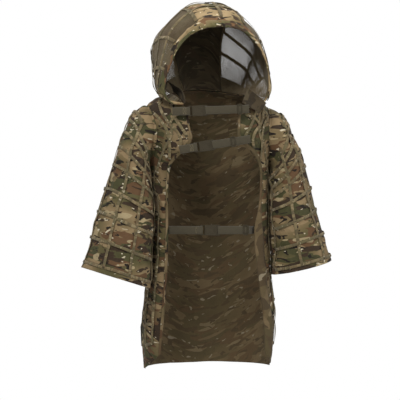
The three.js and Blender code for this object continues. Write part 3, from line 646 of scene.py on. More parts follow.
TAN, KHAKI, SAND = linear((140, 119, 86)), linear((114, 98, 66)), linear((160, 143, 108))
OLIVE, MOSS, BROWN = linear((90, 82, 50)), linear((68, 66, 38)), linear((96, 70, 45))
UMBER, DARK, CREAM = linear((56, 42, 27)), linear((31, 24, 15)), linear((200, 188, 160))
WEAVE, RIPSTOP = 420, 31.4     # bands a metre, in the wave texture's own measure


def shade(rgb, factor):
    return linear([c * factor for c in rgb])


def camo_print(g, vector, shift, grow=1.0):
    """The printed pattern: soft tan, green and brown ground, long blotches, dark twigs and pale flecks."""
    def at(x, y, stretch):
        return g.place(vector, (shift + x, shift * 0.7 + y, 0), (stretch / grow, 1 / grow, 1))
    colour = g.ramp(g.noise(at(1.3, 0.2, 0.55), 8, 1.0, 0.4), [
        (0.30, MOSS), (0.40, OLIVE), (0.48, KHAKI), (0.55, TAN), (0.62, KHAKI), (0.72, BROWN)])
    layers = [
        (at(3.1, 2.2, 0.40), 21, 2.0, 0.30, 0.560, 0.572, MOSS),
        (at(7.7, 4.1, 0.36), 26, 2.0, 0.35, 0.560, 0.570, BROWN),
        (at(4.6, 3.3, 0.38), 24, 2.0, 0.30, 0.585, 0.597, TAN),
        (at(5.3, 8.4, 0.34), 31, 2.0, 0.30, 0.632, 0.642, SAND),
        (at(9.1, 1.4, 0.34), 34, 2.5, 0.55, 0.575, 0.583, UMBER),
        (at(2.4, 6.5, 0.45), 55, 2.5, 0.70, 0.612, 0.620, DARK),
        (at(8.2, 9.3, 0.50), 62, 2.0, 0.50, 0.672, 0.679, CREAM),
    ]
    for where, scale, detail, distortion, low, high, tone in layers:
        mask = g.step(g.noise(where, scale, detail, 0.5, distortion), low, high)
        colour = g.mix(mask, colour, tone)
    return colour


def weave_of(g, uv):
    return g.math("ADD", g.wave(uv, WEAVE, "X"), g.wave(uv, WEAVE, "Y"))


def camo_cloth(name, shift=0.0, tone=1.0):
    g = Graph(name)
    uv = g.flat()
    # tone scales the whole print: above 1 it is painted light, below 1 painted shade, giving lit and shaded copies
    # of one cloth
    colour = g.mix(1.0, camo_print(g, uv, shift), (tone, tone, tone, 1), "MULTIPLY")
    fade = g.noise(g.place(uv, (shift, 0, 0)), 14, 3, 0.6)
    grid = g.math("MAXIMUM", *[g.step(g.wave(uv, RIPSTOP, way), 0.96, 1.0) for way in "XY"])
    creases = g.noise(g.place(uv, (0, shift, 0)), 48, 4, 0.6, 0.4)
    normal = g.bump(weave_of(g, uv), 0.2, 0.0002)
    normal = g.bump(grid, 0.3, 0.0003, normal)
    normal = g.bump(creases, 0.6, 0.005, normal)
    rough = g.math("ADD", g.math("MULTIPLY", fade, 0.2), 0.7)
    return g.finish(colour, rough, normal, 0.03)


def reverse_cloth(name, tone, shift=0.0, through=0.16):
    """The plain side of the printed cloth. through is how far the print shows, from 0 to 1."""
    g = Graph(name)
    uv = g.flat()
    colour = g.mix(through, linear(tone), camo_print(g, uv, shift))
    cloudy = g.noise(uv, 18, 4, 0.6)
    colour = g.mix(g.math("MULTIPLY", cloudy, 0.35), colour, shade(tone, 0.7))
    creases = g.noise(uv, 50, 4, 0.6, 0.6)
    normal = g.bump(weave_of(g, uv), 0.3, 0.0003)
    normal = g.bump(creases, 0.5, 0.004, normal)
    return g.finish(colour, 0.9, normal, 0.05)


def tape_cloth(name):
    g = Graph(name)
    uv = g.flat()
    colour = g.mix(0.5, camo_print(g, uv, 11.0, 0.62), linear((128, 116, 84)))
    ribs = g.wave(uv, 190, "Y")
    colour = g.mix(g.math("MULTIPLY", ribs, 0.15), colour, linear((70, 60, 40)))
    return g.finish(colour, 0.85, g.bump(ribs, 0.6, 0.0006), 0.1)


def net_yarn(name):
    g = Graph(name)
    uv = g.flat()
    tones = [(0.35, linear((88, 74, 52))), (0.55, linear((102, 89, 65))), (0.7, linear((92, 84, 60)))]
    colour = g.ramp(g.noise(uv, 16, 3, 0.5), tones)
    twist = g.noise(uv, 900, 2, 0.5)
    return g.finish(colour, 0.9, g.bump(twist, 0.5, 0.0003), 0.1)


def ribbed_webbing(name, base):
    g = Graph(name)
    uv = g.flat()
    cords, picks = g.wave(uv, 95, "X"), g.wave(uv, 240, "Y")
    worn = g.noise(uv, 60, 4, 0.6)
    colour = g.mix(g.math("MULTIPLY", worn, 0.5), linear(base), shade(base, 1.25))
    # Darker between the cords: painted shade in the grooves.
    groove_painted_shade = g.math("MULTIPLY", g.math("SUBTRACT", 1.0, cords), 0.45)
    colour = g.mix(groove_painted_shade, colour, shade(base, 0.6))
    normal = g.bump(g.math("ADD", g.math("MULTIPLY", cords, 2.0), picks), 0.6, 0.0005)
    return g.finish(colour, 0.82, normal, 0.15)


def moulded(name, base):
    g = Graph(name)
    where = g.space()
    grain, worn = g.noise(where, 900, 3, 0.6), g.noise(where, 90, 4, 0.6)
    colour = g.mix(g.math("MULTIPLY", worn, 0.4), linear(base), shade(base, 1.2))
    rough = g.math("ADD", g.math("MULTIPLY", worn, 0.18), 0.38)
    return g.finish(colour, rough, g.bump(grain, 0.25, 0.0002), 0.0)


def thread(name, base):
    g = Graph(name)
    twist = g.noise(g.space(), 1500, 2, 0.5)
    colour = g.mix(g.math("MULTIPLY", twist, 0.5), linear(base), shade(base, 0.7))
    return g.finish(colour, 0.7, g.bump(twist, 0.4, 0.0002), 0.1)


CAMO_BODY = camo_cloth("camo_body")
CAMO_SLEEVE = {"right": camo_cloth("camo_right", 6.1), "left": camo_cloth("camo_left", 3.7)}
# Tones other than 1 are painted light and shade: the hood's crown and rim lighter, the chest, the neck band and the
# right edge binding darker.
CAMO_CHEST = camo_cloth("camo_chest", 17.3, 0.86)
CAMO_HOOD, CAMO_BAND = camo_cloth("camo_hood", 3.1, 1.5), camo_cloth("camo_band", 21.0, 0.75)
RIM_CLOTH = camo_cloth("camo_rim", 12.1, 1.3)
EDGE_CLOTH = {
    "right": camo_cloth("camo_edge", 15.1, 0.7),
    "left": reverse_cloth("reverse_edge", (98, 82, 57), 5.0, 0.4),
}
LINING = reverse_cloth("reverse", (88, 73, 49), 0.0, 0.3)
# A darker copy of the lining for the inside of the hood's crown and the neck band: painted shade.
LINING_PAINTED_SHADE = reverse_cloth("reverse_painted_shade", (58, 49, 34), 2.0)
# The flaps' reverse cloth, darkened past its own colour: painted shade for the fold that faces away from the light.
FLAP_WITH_PAINTED_SHADE = reverse_cloth("reverse_flap_with_painted_shade", (54, 45, 31), 4.0)
TAPE, YARN = tape_cloth("tape"), net_yarn("net_yarn")
WEBBING, PLASTIC = ribbed_webbing("webbing", (74, 67, 50)), moulded("moulded_plastic", (56, 49, 34))
THREAD, THREAD_PALE = thread("thread", (74, 66, 46)), thread("thread_pale", (160, 146, 112))

# ---- body of the smock ----
rows_v = np.concatenate([
    np.linspace(0, 3, 46)[:-1], ARM_MIDDLE - ARM_HALF * np.cos(np.linspace(0, np.pi, 80)),
    v_at_drop(np.linspace(ARM_DROP, HEM_DROP, 170)[1:]),
])


def drape(panel, seed, size, edges, hang):
    """Wrinkles and hanging folds, faded out towards the sewn edges. edges is the fade, from 0 to 1."""
    u, w = panel.u, panel.w
    folds = noise(u / 0.085 + 0.6 * noise(u / 0.3, w / 0.3, seed + 9), w / 0.55, seed + 8)
    height = wrinkle(u, w, seed, size) + hang * folds
    panel.raise_by((height - 1.0) * edges)
    return panel


def row_grid(count_v, start, stop, columns):
    """Column parameters for each row: shares between the row's start and stop."""
    share = np.linspace(0, 1, columns)
    return lerp(start[:, None], stop[:, None], share[None, :]), np.repeat(count_v[:, None], columns, 1)


BACK_COLUMNS, FRONT_COLUMNS = 210, 90
SIDE_LAP = 0.014     # share of a front that laps the back at the side seam
reach = 1 - notch(rows_v) - SEAM_SHARE
s, v = row_grid(rows_v, -reach, reach, BACK_COLUMNS)
points = back_point(s, v)
back = Panel(points, stack(points[..., 0], points[..., 1], 0 * points[..., 2]))
edge_fade = smoothstep(1 - np.abs(np.linspace(-1, 1, BACK_COLUMNS))[None, :], 0, 0.12)
top_fade = smoothstep(rows_v, 0, 1.2)[:, None]
drop_share = smoothstep(rows_v, 5, 11)[:, None]
drape(back, 20, 1.0, edge_fade * top_fade, 3 + 7 * drop_share)
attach(camo_piece("back_cloth", back, "back_panel", [CAMO_BODY, LINING], (0.0, 0.0)), ROOT)

fronts = {}
for side, sign in SIGN.items():
    s, v = row_grid(rows_v, notch(rows_v) - SIDE_LAP, np.ones_like(rows_v), FRONT_COLUMNS)
    points = front_point(side, s, v)
    panel = Panel(points, stack(points[..., 0] * 0.6, points[..., 1] - 20, 0 * points[..., 2]))
    share = np.linspace(0, 1, FRONT_COLUMNS)[None, :]
    fade = smoothstep(share, 0, 0.2) * lerp(1, 0.45, smoothstep(share, 0.75, 1)) * top_fade
    drape(panel, 40 + sign * 7, 1.35, fade, 3.5 + 4 * drop_share)
    fronts[side] = panel
    obj = camo_piece(f"front_cloth_{side}", panel, f"front_panel_{side}", [CAMO_CHEST, LINING],
                     (0.3 * sign, 0.1), 0.8)
    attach(obj, ROOT)

# ---- sleeves ----
sleeves, sleeve_objs = {}, {}
SEAM_LAP = [(9.0, 2.3), (5.0, 2.6), (1.0, 3.4)]     # mm on to the body, mm off it
SLEEVE_ROWS = np.concatenate([[-0.3, -0.2, -0.1], np.linspace(0.004, 2, 50)[:-1], np.linspace(2, 7, 130)])
for side, sign in SIGN.items():
    turns = np.linspace(-0.5, 0.5, 260, endpoint=False)
    turn, v = np.meshgrid(turns, SLEEVE_ROWS)
    points = sleeve_point(side, turn, v)
    for row, (grow, lift) in enumerate(SEAM_LAP):
        points[row] = armhole_edge(side, turns * 2 * np.pi, grow, lift)
    centre = points.mean(1, keepdims=True)
    panel = Panel(points, points - centre, ring=True)
    low = smoothstep(v, 2, 7)
    join = smoothstep(np.abs(np.abs(turn) - 0.5), 0, 0.05)
    folds = noise(turn * 8 + 0.5 * noise(turn * 3, v, 77 + sign), v / 4, 70 + sign * 3)
    swag = noise(turn * 5 + v * 0.8 * sign, v / 1.6, 90 + sign * 5)
    height = wrinkle(panel.u, panel.w, 60 + sign * 9, 1.3)
    height = height + (2.0 + 6.5 * low) * folds + 3.5 * swag * smoothstep(v, 1, 3)
    panel.raise_by((height - 0.5) * smoothstep(v, 0.1, 1.6) * lerp(0.25, 1, join))
    sleeves[side] = panel
    both_sides = [CAMO_SLEEVE[side], LINING]
    sleeve_objs[side] = camo_piece(
        f"sleeve_cloth_{side}", panel, f"sleeve_{side}", both_sides, (1.7 * sign, 0.8), 0.85)

# ---- hood ----
# u runs round the hood from the middle, 0, to the front corners, and t from the rim, 0, to the neckline, 1.
CROWN, CROWN_SEAM = 1.6, 0.012
hood_t = np.linspace(0, 1, 150)


def hood_panel(u_values):
    points = hood_point(*np.meshgrid(u_values, hood_t))
    return Panel(points, points - np.array([0, -10, 120.0]))


CROWN_COLUMNS, SIDE_COLUMNS = 110, 150
crown = hood_panel(np.linspace(-CROWN + CROWN_SEAM, CROWN - CROWN_SEAM, CROWN_COLUMNS))
share = np.linspace(-1, 1, CROWN_COLUMNS)[None, :]
fade = smoothstep(1 - np.abs(share), 0, 0.15) * smoothstep(1 - hood_t, 0, 0.15)[:, None]
crown.raise_by((wrinkle(crown.u * 0.8, crown.w * 1.6, 120, 1.1) - 1.0) * fade)
crown_obj = camo_piece(
    "hood_crown_cloth", crown, "hood_crown", [CAMO_HOOD, LINING_PAINTED_SHADE], (4.0, 2.0))

hood_objs = []
PITCH, YARN_WIDTH, YARN_THICK = 4.0, 1.9, 0.9
NET_MIDDLE = np.array([0, 20.0, 110])
NET_END = 7.2
NET_SAMPLES = 46
ROW_STEP = 0.866     # rows of hexagons lie this much of a pitch apart


def laid_flat(points):
    """Flat coordinates in mm of the points, seen from inside the hood, with their spacing kept."""
    spoke = points - NET_MIDDLE
    away = unit(spoke)
    ahead = unit(away.mean((0, 1)))
    right = unit(np.cross(ahead, [0, 0, 1.0]))
    angle = np.arccos(np.clip(away @ ahead, -1, 1))
    heading = unit(np.stack([away @ right, away @ np.cross(right, ahead)], -1))
    return heading * angle[..., None] * np.linalg.norm(spoke, axis=-1).mean()


def inside_triangle(point, corners):
    """The shares of each triangle's three corners that make each point."""
    a, b, c = corners
    e1, e2, d = b - a, c - a, point - a
    det = e1[:, 0] * e2[:, 1] - e1[:, 1] * e2[:, 0]
    s1 = (d[:, 0] * e2[:, 1] - d[:, 1] * e2[:, 0]) / det
    s2 = (e1[:, 0] * d[:, 1] - e1[:, 1] * d[:, 0]) / det
    return 1 - s1 - s2, s1, s2


def hex_net(name, panel):
    """A net of hexagonal cells over a panel, each a hole with flat rims, and the size of its cut."""
    rows, columns = panel.p.shape[:2]
    r, c = [np.round(np.linspace(0, n - 1, NET_SAMPLES)).astype(int) for n in (rows, columns)]
    flat = laid_flat(panel.p[np.ix_(r, c)])
    quads = grid_faces(NET_SAMPLES, NET_SAMPLES)
    triangles = np.concatenate([quads[:, :3], quads[:, [0, 2, 3]]])
    shares = np.stack(np.meshgrid(r / (rows - 1), c / (columns - 1), indexing="ij"), -1).reshape(-1, 2)
    corners = flat.reshape(-1, 2)
    tree = BVHTree.FromPolygons([(x, y, 0) for x, y in corners], triangles.tolist())
    low, high = corners.min(0) - PITCH, corners.max(0) + PITCH
    across, down = (high - low) / PITCH / [1, ROW_STEP]
    a, b = np.meshgrid(np.arange(int(down)), np.arange(int(across)), indexing="ij")
    centres = np.stack([low[0] + (b + 0.5 * (a % 2)) * PITCH, low[1] + a * PITCH * ROW_STEP], -1)
    centres = centres.reshape(-1, 2)
    gaps = np.array([tree.find_nearest((x, y, 0))[3] for x, y in centres])
    centres = centres[gaps < PITCH * 0.25]
    angle = np.radians(np.arange(6) * 60 + 30)
    outer = np.stack([np.cos(angle), np.sin(angle)], -1) * PITCH / math.sqrt(3)
    scales = (1.0, 1 - YARN_WIDTH / PITCH)
    spots = np.concatenate([(centres[:, None] + outer[None] * scale).reshape(-1, 2) for scale in scales])
    found = [tree.find_nearest((x, y, 0)) for x, y in spots]
    tri = triangles[[hit[2] for hit in found]]
    near = np.array([hit[0][:2] for hit in found])
    parts = inside_triangle(near, [corners[tri[:, k]] for k in range(3)])
    at = sum(shares[tri[:, k]] * parts[k][:, None] for k in range(3))
    verts, _ = panel.at(at[:, 0], at[:, 1])
    n = len(centres)
    base, k = np.arange(n)[:, None] * 6, np.arange(6)[None, :]
    after = (k + 1) % 6
    faces = np.stack([base + k, base + after, base + after + n * 6, base + k + n * 6], -1).reshape(-1, 4)
    obj = to_mesh(name, verts, faces, spots / 1000, [YARN])
    mesh = bmesh.new()
    mesh.from_mesh(obj.data)
    bmesh.ops.remove_doubles(mesh, verts=mesh.verts, dist=0.0002)
    bmesh.ops.recalc_face_normals(mesh, faces=mesh.faces)
    mesh.to_mesh(obj.data)
    mesh.free()
    return thicken(obj, YARN_THICK), (high - low - 2 * PITCH) / 1000


for side, sign in SIGN.items():
    u_values = np.linspace(CROWN + CROWN_SEAM, NET_END, SIDE_COLUMNS) * sign
    panel = hood_panel(u_values[::sign])
    share = np.linspace(0, 1, SIDE_COLUMNS)[None, :]
    fade = smoothstep(np.minimum(share, 1 - share), 0, 0.08) * smoothstep(1 - hood_t, 0, 0.1)[:, None]
    ridges = 1 - 2 * np.abs(noise(panel.u / 0.05, panel.w / 0.07, 155 + sign))
    soft = 2.6 * noise(panel.u / 0.09, panel.w / 0.11, 150 + sign) - 1.5 + 1.2 * ridges
    panel.raise_by(soft * fade)
    obj, size = hex_net(f"hood_net_{side}", panel)
    declare(obj, size, panel.area())
    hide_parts(f"hood_mesh_{side}")
    hood_objs.append(obj)

# ---- tapes ----


def v_share(values, v):
    """Row share of a panel whose rows lie at these values."""
    return np.interp(v, values, np.linspace(0, 1, len(values)))


def smoothed(values, reach=4):
    """A running mean down each column, with its ends repeated."""
    window = np.ones(2 * reach + 1) / (2 * reach + 1)
    padded = np.pad(values, ((reach, reach), (0, 0)), "edge")
    return np.stack([np.convolve(column, window, "valid") for column in padded.T], -1)


TAPE_THICK, TAPE_STEPS = 1.2, 11


def tape_net(name, panel, lines, seed, bulge=(0.7, 2.8), base_lift=1.0, width=9.5):
    """Tapes tacked down at each (row, column) of their lines, and standing off between."""
    rng = np.random.RandomState(seed)
    t = np.linspace(0, 1, TAPE_STEPS + 1)[:-1]
    hump = np.sin(np.pi * t)
    tapes, tacks = [], []
    for number, line in enumerate(lines):
        line = np.array(line, float)
        base = base_lift + 1.1 * (number % 2)
        route = []     # rows, columns, lifts, twists and sways, stretch by stretch
        for a, b in zip(line[:-1], line[1:]):
            lift = base + rng.uniform(*bulge) * hump ** 0.8
            twist = rng.uniform(-0.3, 0.3) * hump
            sway = rng.uniform(-2.0, 2.0) * hump
            route.append([lerp(a[0], b[0], t), lerp(a[1], b[1], t), lift, twist, sway])
        route.append([[line[-1, 0]], [line[-1, 1]], [base], [0], [0]])
        rows, columns, lifts, twists, sways = np.concatenate(route, axis=1)
        p, n = panel.at(rows, columns)
        up = unit(smoothed(n))
        p = p + up * lifts[:, None] + unit(np.cross(up, np.gradient(p, axis=0))) * sways[:, None]
        tapes.append(ribbon(p, up, width, TAPE_THICK, twists, rng.uniform(0, 3)))
        along = unit(np.gradient(p, axis=0))
        side = unit(np.cross(up, along))
        for k in range(0, len(p), TAPE_STEPS):
            for shift in (-1.6, 1.6):
                place = p[k] + along[k] * shift + up[k] * 0.5
                tacks.append(bar(place, side[k], up[k], width * 0.8, 1.1, 0.5))
    return [merged(name, tapes, TAPE),
            merged(name.replace("tapes", "bartacks"), tacks, THREAD)]


def crossed(rows, columns):
    """Lines across at each row, and down at each column."""
    return [[(r, c) for c in columns] for r in rows] + [[(r, c) for r in rows] for c in columns]


PITCH_ROWS = [v_share(rows_v, v) for v in v_at_drop(np.linspace(ARM_DROP, HEM_DROP, 10))[1:-1]]
upper_rows = [v_share(rows_v, v) for v in (1.0, 2.1, 3.2, 4.3, 5.4)]
column = [j / 14 for j in (1, 3, 5, 7, 9, 11, 13)]
lines = [[(r, c) for c in column] for r in PITCH_ROWS]
lines += [[(r, c) for c in column[2:5]] for r in upper_rows]
lines += [[(r, c) for r in (upper_rows if c in column[2:5] else []) + PITCH_ROWS] for c in column]
body_bits = tape_net("tapes_back", back, lines, 5)
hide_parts("lattice_back")

at = {v: v_share(rows_v, v) for v in (0.5, 1.2, 2.0, 3.0, 3.9, 4.8, 5.6)}
for side, inner in (("right", 0.6), ("left", 0.42)):
    lines = crossed(PITCH_ROWS, [0.2, inner]) + [
        [(at[0.5], 0.42), (at[1.2], 0.52), (at[2.0], 0.68), (at[3.0], 0.92)],
        [(at[1.2], 0.12), (at[2.0], 0.30), (at[3.0], 0.62), (at[3.9], 0.9)],
        [(at[1.2], 0.86), (at[2.0], 0.68), (at[3.0], 0.62), (at[3.9], 0.55), (at[4.8], 0.5), (at[5.6], 0.42),
         (PITCH_ROWS[0], 0.42)],
        [(at[3.0], 0.3), (at[3.9], 0.55), (at[4.8], 0.86)],
    ]
    tapes, tacks = tape_net(f"tapes_front_{side}", fronts[side], lines, 11 + SIGN[side])
    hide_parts(f"lattice_front_{side}")
    body_bits += [tapes, tacks]

sleeve_bits = {}
around = [a / 360 + 0.5 for a in (-160, -107, -57, 0, 57, 104, 160)]
heights = [v_share(SLEEVE_ROWS, x) for x in (1.7, 2.5, 3.3, 4.0, 4.47, 5.05, 5.62, 6.22, 6.78)]
lines = [[(r, c) for c in around] for r in heights[2:]]
lines += [[(heights[0], c) for c in around[2:5]], [(heights[1], c) for c in around[1:6]]]
lines += [[(r, c) for r in heights] for c in around]
for side in SIGN:
    sleeve_bits[side] = tape_net(f"tapes_sleeve_{side}", sleeves[side], lines, 31 + SIGN[side], (0.7, 3.2))
    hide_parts(f"lattice_sleeve_{side}")

# The hood's tapes run over one grid of its whole surface.
HOOD_END = 7.9
whole = hood_panel(np.linspace(-HOOD_END, HOOD_END, 330))


def u_share(u):
    return (u + HOOD_END) / (2 * HOOD_END)


radial = [-6.5, -4.9, -3.3, -1.6, 0, 1.6, 3.3, 4.9, 6.5]
arc = [0.07, 0.2, 0.35, 0.5, 0.65, 0.8, 0.93]
lines = [[(t, u_share(u)) for u in radial if abs(u) < (8 if t < 0.6 else 5)] for t in arc[1:-1]]
lines += [[(t, u_share(u)) for t in (arc if abs(u) < 5 else arc[:5])] for u in radial]
hood_bits = tape_net("tapes_hood", whole, lines, 57, (0.4, 1.8), 2.0, 11)
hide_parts("lattice_hood")

# ---- turned edges: the hood's rim and the opening's bindings ----


def turned_edge(name, outside, inside, rows, material, seed, crumple=1.6, thickness=1.0):
    """A strip folded over an edge: outside and inside give points and normals at shares from the edge."""
    shares = np.linspace(0, 1, rows)
    grid = []
    for q in shares[::-1]:
        p, n, out_of = inside(q)
        grid.append(p - n * 2.4 + out_of * 1.4 * (1 - q) ** 4)
    p, _, out_of = outside(0.0)
    grid.append(p + out_of * 2.6)
    for q in shares:
        p, n, out_of = outside(q)
        grid.append(p + n * 2.0 + out_of * 1.4 * (1 - q) ** 4)
    grid = np.array(grid)
    length = run_length(grid[rows]) / 1000
    width = run_length(grid[:, grid.shape[1] // 2]) / 1000
    u, w = np.meshgrid(length, width)
    n = unit(np.cross(np.gradient(grid, axis=1), np.gradient(grid, axis=0)))
    _, away, _ = outside(0.5)
    n = n * np.sign(np.sum(n[rows + rows // 2] * away, -1).mean())
    edge_side = np.where(np.arange(len(grid)) > rows, 1.0, 0.35)[:, None]
    ripples = noise(u / 0.011, w / 0.02, seed) + 0.8 * noise(u / 0.026, w / 0.03, seed + 1)
    grid = grid + n * (crumple * ripples * edge_side)[..., None]
    faces = grid_faces(*grid.shape[:2])
    if np.sum(np.cross(grid[0, 1] - grid[0, 0], grid[1, 0] - grid[0, 0]) * n[0, 0]) > 0:
        faces = faces[:, ::-1]
    obj = to_mesh(name, grid, faces, np.stack([u, w], -1), [material])
    obj = thicken(obj, thickness)
    declare(obj, (width[-1], length[-1]), grid_area(grid))
    return obj


rim_u = np.linspace(-7.97, 7.97, 620)
full = hood_panel(rim_u)
band = 25 / (full.w[-1] * 1000)


def rim_leg(scale):
    def leg(q):
        t = np.minimum(band * scale * q, 0.4)
        p, n = full.at(t, np.linspace(0, 1, len(rim_u)))
        out_of = unit(full.p[0] - full.p[3])
        return p, n, out_of
    return leg


rim_obj = turned_edge("hood_rim_band", rim_leg(1.0), rim_leg(0.8), 7, RIM_CLOTH, 201, 1.9)
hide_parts("hood_rim")

for side, sign in SIGN.items():
    panel = fronts[side]
    rows = np.linspace(0.0, 1, 420)

    def edge_leg(width, panel=panel, rows=rows):
        def leg(q):
            span = np.interp(rows, np.linspace(0, 1, len(panel.u)), (panel.u[:, -1] - panel.u[:, 0]) * 1000)
            p, n = panel.at(rows, 1 - q * width / span)
            out_of = unit(panel.at(rows, np.ones_like(rows))[0] - panel.at(rows, 1 - 3 / span)[0])
            return p, n, out_of
        return leg
    outer_leg = 8 + (26 * smoothstep(rows, 0.48, 0.62) if side == "left" else 0)
    obj = turned_edge(f"edge_binding_{side}", edge_leg(outer_leg), edge_leg(22), 6, EDGE_CLOTH[side],
                      220 + sign, 0.8)
    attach(obj, ROOT)
    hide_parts(f"edge_facing_{side}")

# ---- the band that covers the seam between hood and neckline ----
band_u = np.linspace(-HOOD_END, HOOD_END, 420)
grid = [hood_point(band_u, t) for t in (0.93, 0.945, 0.96, 0.975, 0.99)]
for v in (0.02, 0.08, 0.14, 0.20):
    right, left = [neckline(side, np.abs(band_u), v) for side in SIGN]
    grid.append(np.where((band_u < 0)[:, None], right, left))
grid = np.array(grid)
neck_band = Panel(grid, grid - np.array([0, -10, -70.0]))
swell = np.array([1.5, 2.0, 2.2, 2.4, 2.6, 2.8, 2.6, 2.3, 2.0])[:, None]
neck_band.raise_by(swell + 0.8 * noise(neck_band.u / 0.03, neck_band.w / 0.03, 171))
neck_band_obj = camo_piece(
    "neck_band_cloth", neck_band, None, [CAMO_BAND, LINING_PAINTED_SHADE], (7.0, 5.0))

# ---- neck flaps ----
FLAP_GRID = 34


def flap(side, corners, bow, seed):
    a, b, c, d = [np.array(x, float) for x in corners]
    x, y = np.meshgrid(np.linspace(0, 1, FLAP_GRID), np.linspace(0, 1, FLAP_GRID))
    x3, y3 = x[..., None], y[..., None]
    p = lerp(lerp(a, b, x3), lerp(d, c, x3), y3)
    n = unit(np.cross(np.gradient(p, axis=1), np.gradient(p, axis=0)))
    w, u = y * np.linalg.norm(d - a) / 1000, x * np.linalg.norm(b - a) / 1000
    height = bow * np.sin(np.pi * x) * np.sin(np.pi * (0.2 + 0.7 * y))
    height = height + 3.0 * noise(u / 0.03, w / 0.035, seed)
    p = p + n * (height * smoothstep(np.minimum(x, 1 - x), -0.2, 0.15))[..., None]
    faces = grid_faces(FLAP_GRID, FLAP_GRID)
    obj = thicken(to_mesh(f"neck_flap_cloth_{side}", p, faces, np.stack([u, w], -1), [FLAP_WITH_PAINTED_SHADE]), 1.4)
    size = [np.linalg.norm(np.diff(p, axis=k), axis=-1).sum(k).max() / 1000 for k in (1, 0)]
    declare(obj, size, grid_area(p))
    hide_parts(f"neck_flap_{side}")
    return obj


flaps = [
    flap("left", [[78, -131, -8], [102, -114, 42], [160, -123, -6], [136, -133, -38]], 5, 301),
    flap("right", [[-97, -98, -12], [-100, -66, 36], [-136, -8, 68], [-110, 0, 36]], -6, 307),
]

# ---- straps ----
# Each strap's frame: x along it from the female half's mouth, y to the back, z across it.
STRAPS = {
    "upper": dict(mouth=-48, z=-35, tilt=3, slider=116, start=-50, end=146, y=-139),
    "middle": dict(mouth=-26, z=-142, tilt=9, slider=74, start=-50, end=130, y=-139),
    "lower": dict(mouth=-4, z=-405, tilt=0, slider=95, start=None, end=None, y=-122),
}
WEB, WEB_THICK = 25, 1.6
PRONG, PRONG_GAP, TURN_RADIUS, SLIDER_BAR = 1.5, 0.5, 1.6, 12
RUN_Y = PRONG + PRONG_GAP + WEB_THICK / 2     # from a buckle's middle to the webbing's
FEMALE, BAR_DEPTH, MALE_BAR, RELEASE = 48, 3.2, 8.2, 32
BEHIND = 10.1 - 1.6 - 0.4     # how far behind an edge the webbing is sewn
FRONT_WAY = np.array([0, -1.0, 0])


def strap_axes(strap):
    """The strap's origin, and its directions along and across."""
    t = math.radians(strap["tilt"])
    along, across = np.array([math.cos(t), 0, math.sin(t)]), np.array([-math.sin(t), 0, math.cos(t)])
    return np.array([strap["mouth"], strap["y"], strap["z"]], float), along, across


def chest_y(side, x, z):
    """The foremost y of a front within the webbing's height."""
    v, s = np.meshgrid(np.linspace(0.2, 10, 261), np.linspace(0.35, 1, 27))
    p = front_point(side, s, v)
    close = (np.abs(p[..., 0] - x) < 5) & (np.abs(p[..., 2] - z) < WEB / 2 + 4)
    return p[..., 1][close].min() if close.any() else 0.0


def edge_at(side, z):
    line = mirrored(spline(edge_column[side], np.linspace(0, 11, 401)), SIGN[side])
    return line[np.argmin(np.abs(line[:, 2] - z))]


def turn_round(bar_side, towards):
    """Points of webbing that turns round a bar."""
    far = bar_side + towards * 2.5
    bend = ((-1, -1), (-0.45, -0.9), (-0.1, -0.5), (0, 0), (-0.1, 0.5), (-0.45, 0.9), (-1, 1))
    return [[far + towards * x * TURN_RADIUS, y * RUN_Y] for x, y in bend]


def strap_piece(name, strap, line, node=None):
    """Webbing along a line of x, y in the strap's frame."""
    line = np.array(line, float)
    keep = np.concatenate([[True], np.linalg.norm(np.diff(line, axis=0), axis=1) > 0.2])
    line = line[keep]
    dense = spline(line, np.linspace(0, len(line) - 1, (len(line) - 1) * 8 + 1))
    origin, ex, ez = strap_axes(strap)
    points = origin + dense[:, :1] * ex + dense[:, 1:] * np.array([0, 1, 0])
    tangent = unit(np.gradient(points, axis=0))
    normals = unit(np.cross(np.broadcast_to(ez, tangent.shape), tangent))
    obj = merged(name, [ribbon(points, normals, WEB, WEB_THICK)], WEBBING)
    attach(obj, ROOT)
    if node:
        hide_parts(node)
    return obj


def box_stitch(origin, ex, ez, centre, size, y):
    """A boxed cross of stitches on a strap."""
    tacks = []
    (cx, cz), (hx, hz) = centre, size
    corners = [(-hx, -hz), (hx, -hz), (hx, hz), (-hx, hz)]
    runs = [(corners[k], corners[(k + 1) % 4]) for k in range(4)]
    runs += [(corners[0], corners[2]), (corners[1], corners[3])]
    for (x0, z0), (x1, z1) in runs:
        length = math.hypot(x1 - x0, z1 - z0)
        along = unit((x1 - x0) * ex + (z1 - z0) * ez)
        count = int(length / 2.8)
        for k in range(count):
            t = (k + 0.5) / count
            place = origin + (cx + lerp(x0, x1, t)) * ex + (cz + lerp(z0, z1, t)) * ez + [0, y, 0]
            tacks.append(bar(place, along, FRONT_WAY, 2.0, 0.55, 0.35))
    return tacks


def fine_moulding(node, body, ribs=()):
    """The node's own shape with softened edges, and raised ribs: low corner, high corner, in mm."""
    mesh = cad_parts[node].data.copy()
    obj = bpy.data.objects.new(node + "_moulding", mesh)
    scene.collection.objects.link(obj)
    work = bmesh.new()
    work.from_mesh(mesh)
    bmesh.ops.remove_doubles(work, verts=work.verts, dist=0.00001)
    bmesh.ops.dissolve_limit(work, angle_limit=0.02, verts=work.verts, edges=work.edges)
    work.to_mesh(mesh)
    work.free()
    mesh.materials.clear()
    mesh.materials.append(PLASTIC)
    bpy.context.view_layer.update()
    mod = obj.modifiers.new("edges", "BEVEL")
    mod.width = 0.00045
    mod.segments = 2
    mod.limit_method = "ANGLE"
    mod.angle_limit = math.radians(35)
    apply_all(obj)
    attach(obj, body)
    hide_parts(node)
    if len(ribs):
        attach(merged(node + "_ribs", ribs, PLASTIC, smooth=False), body)


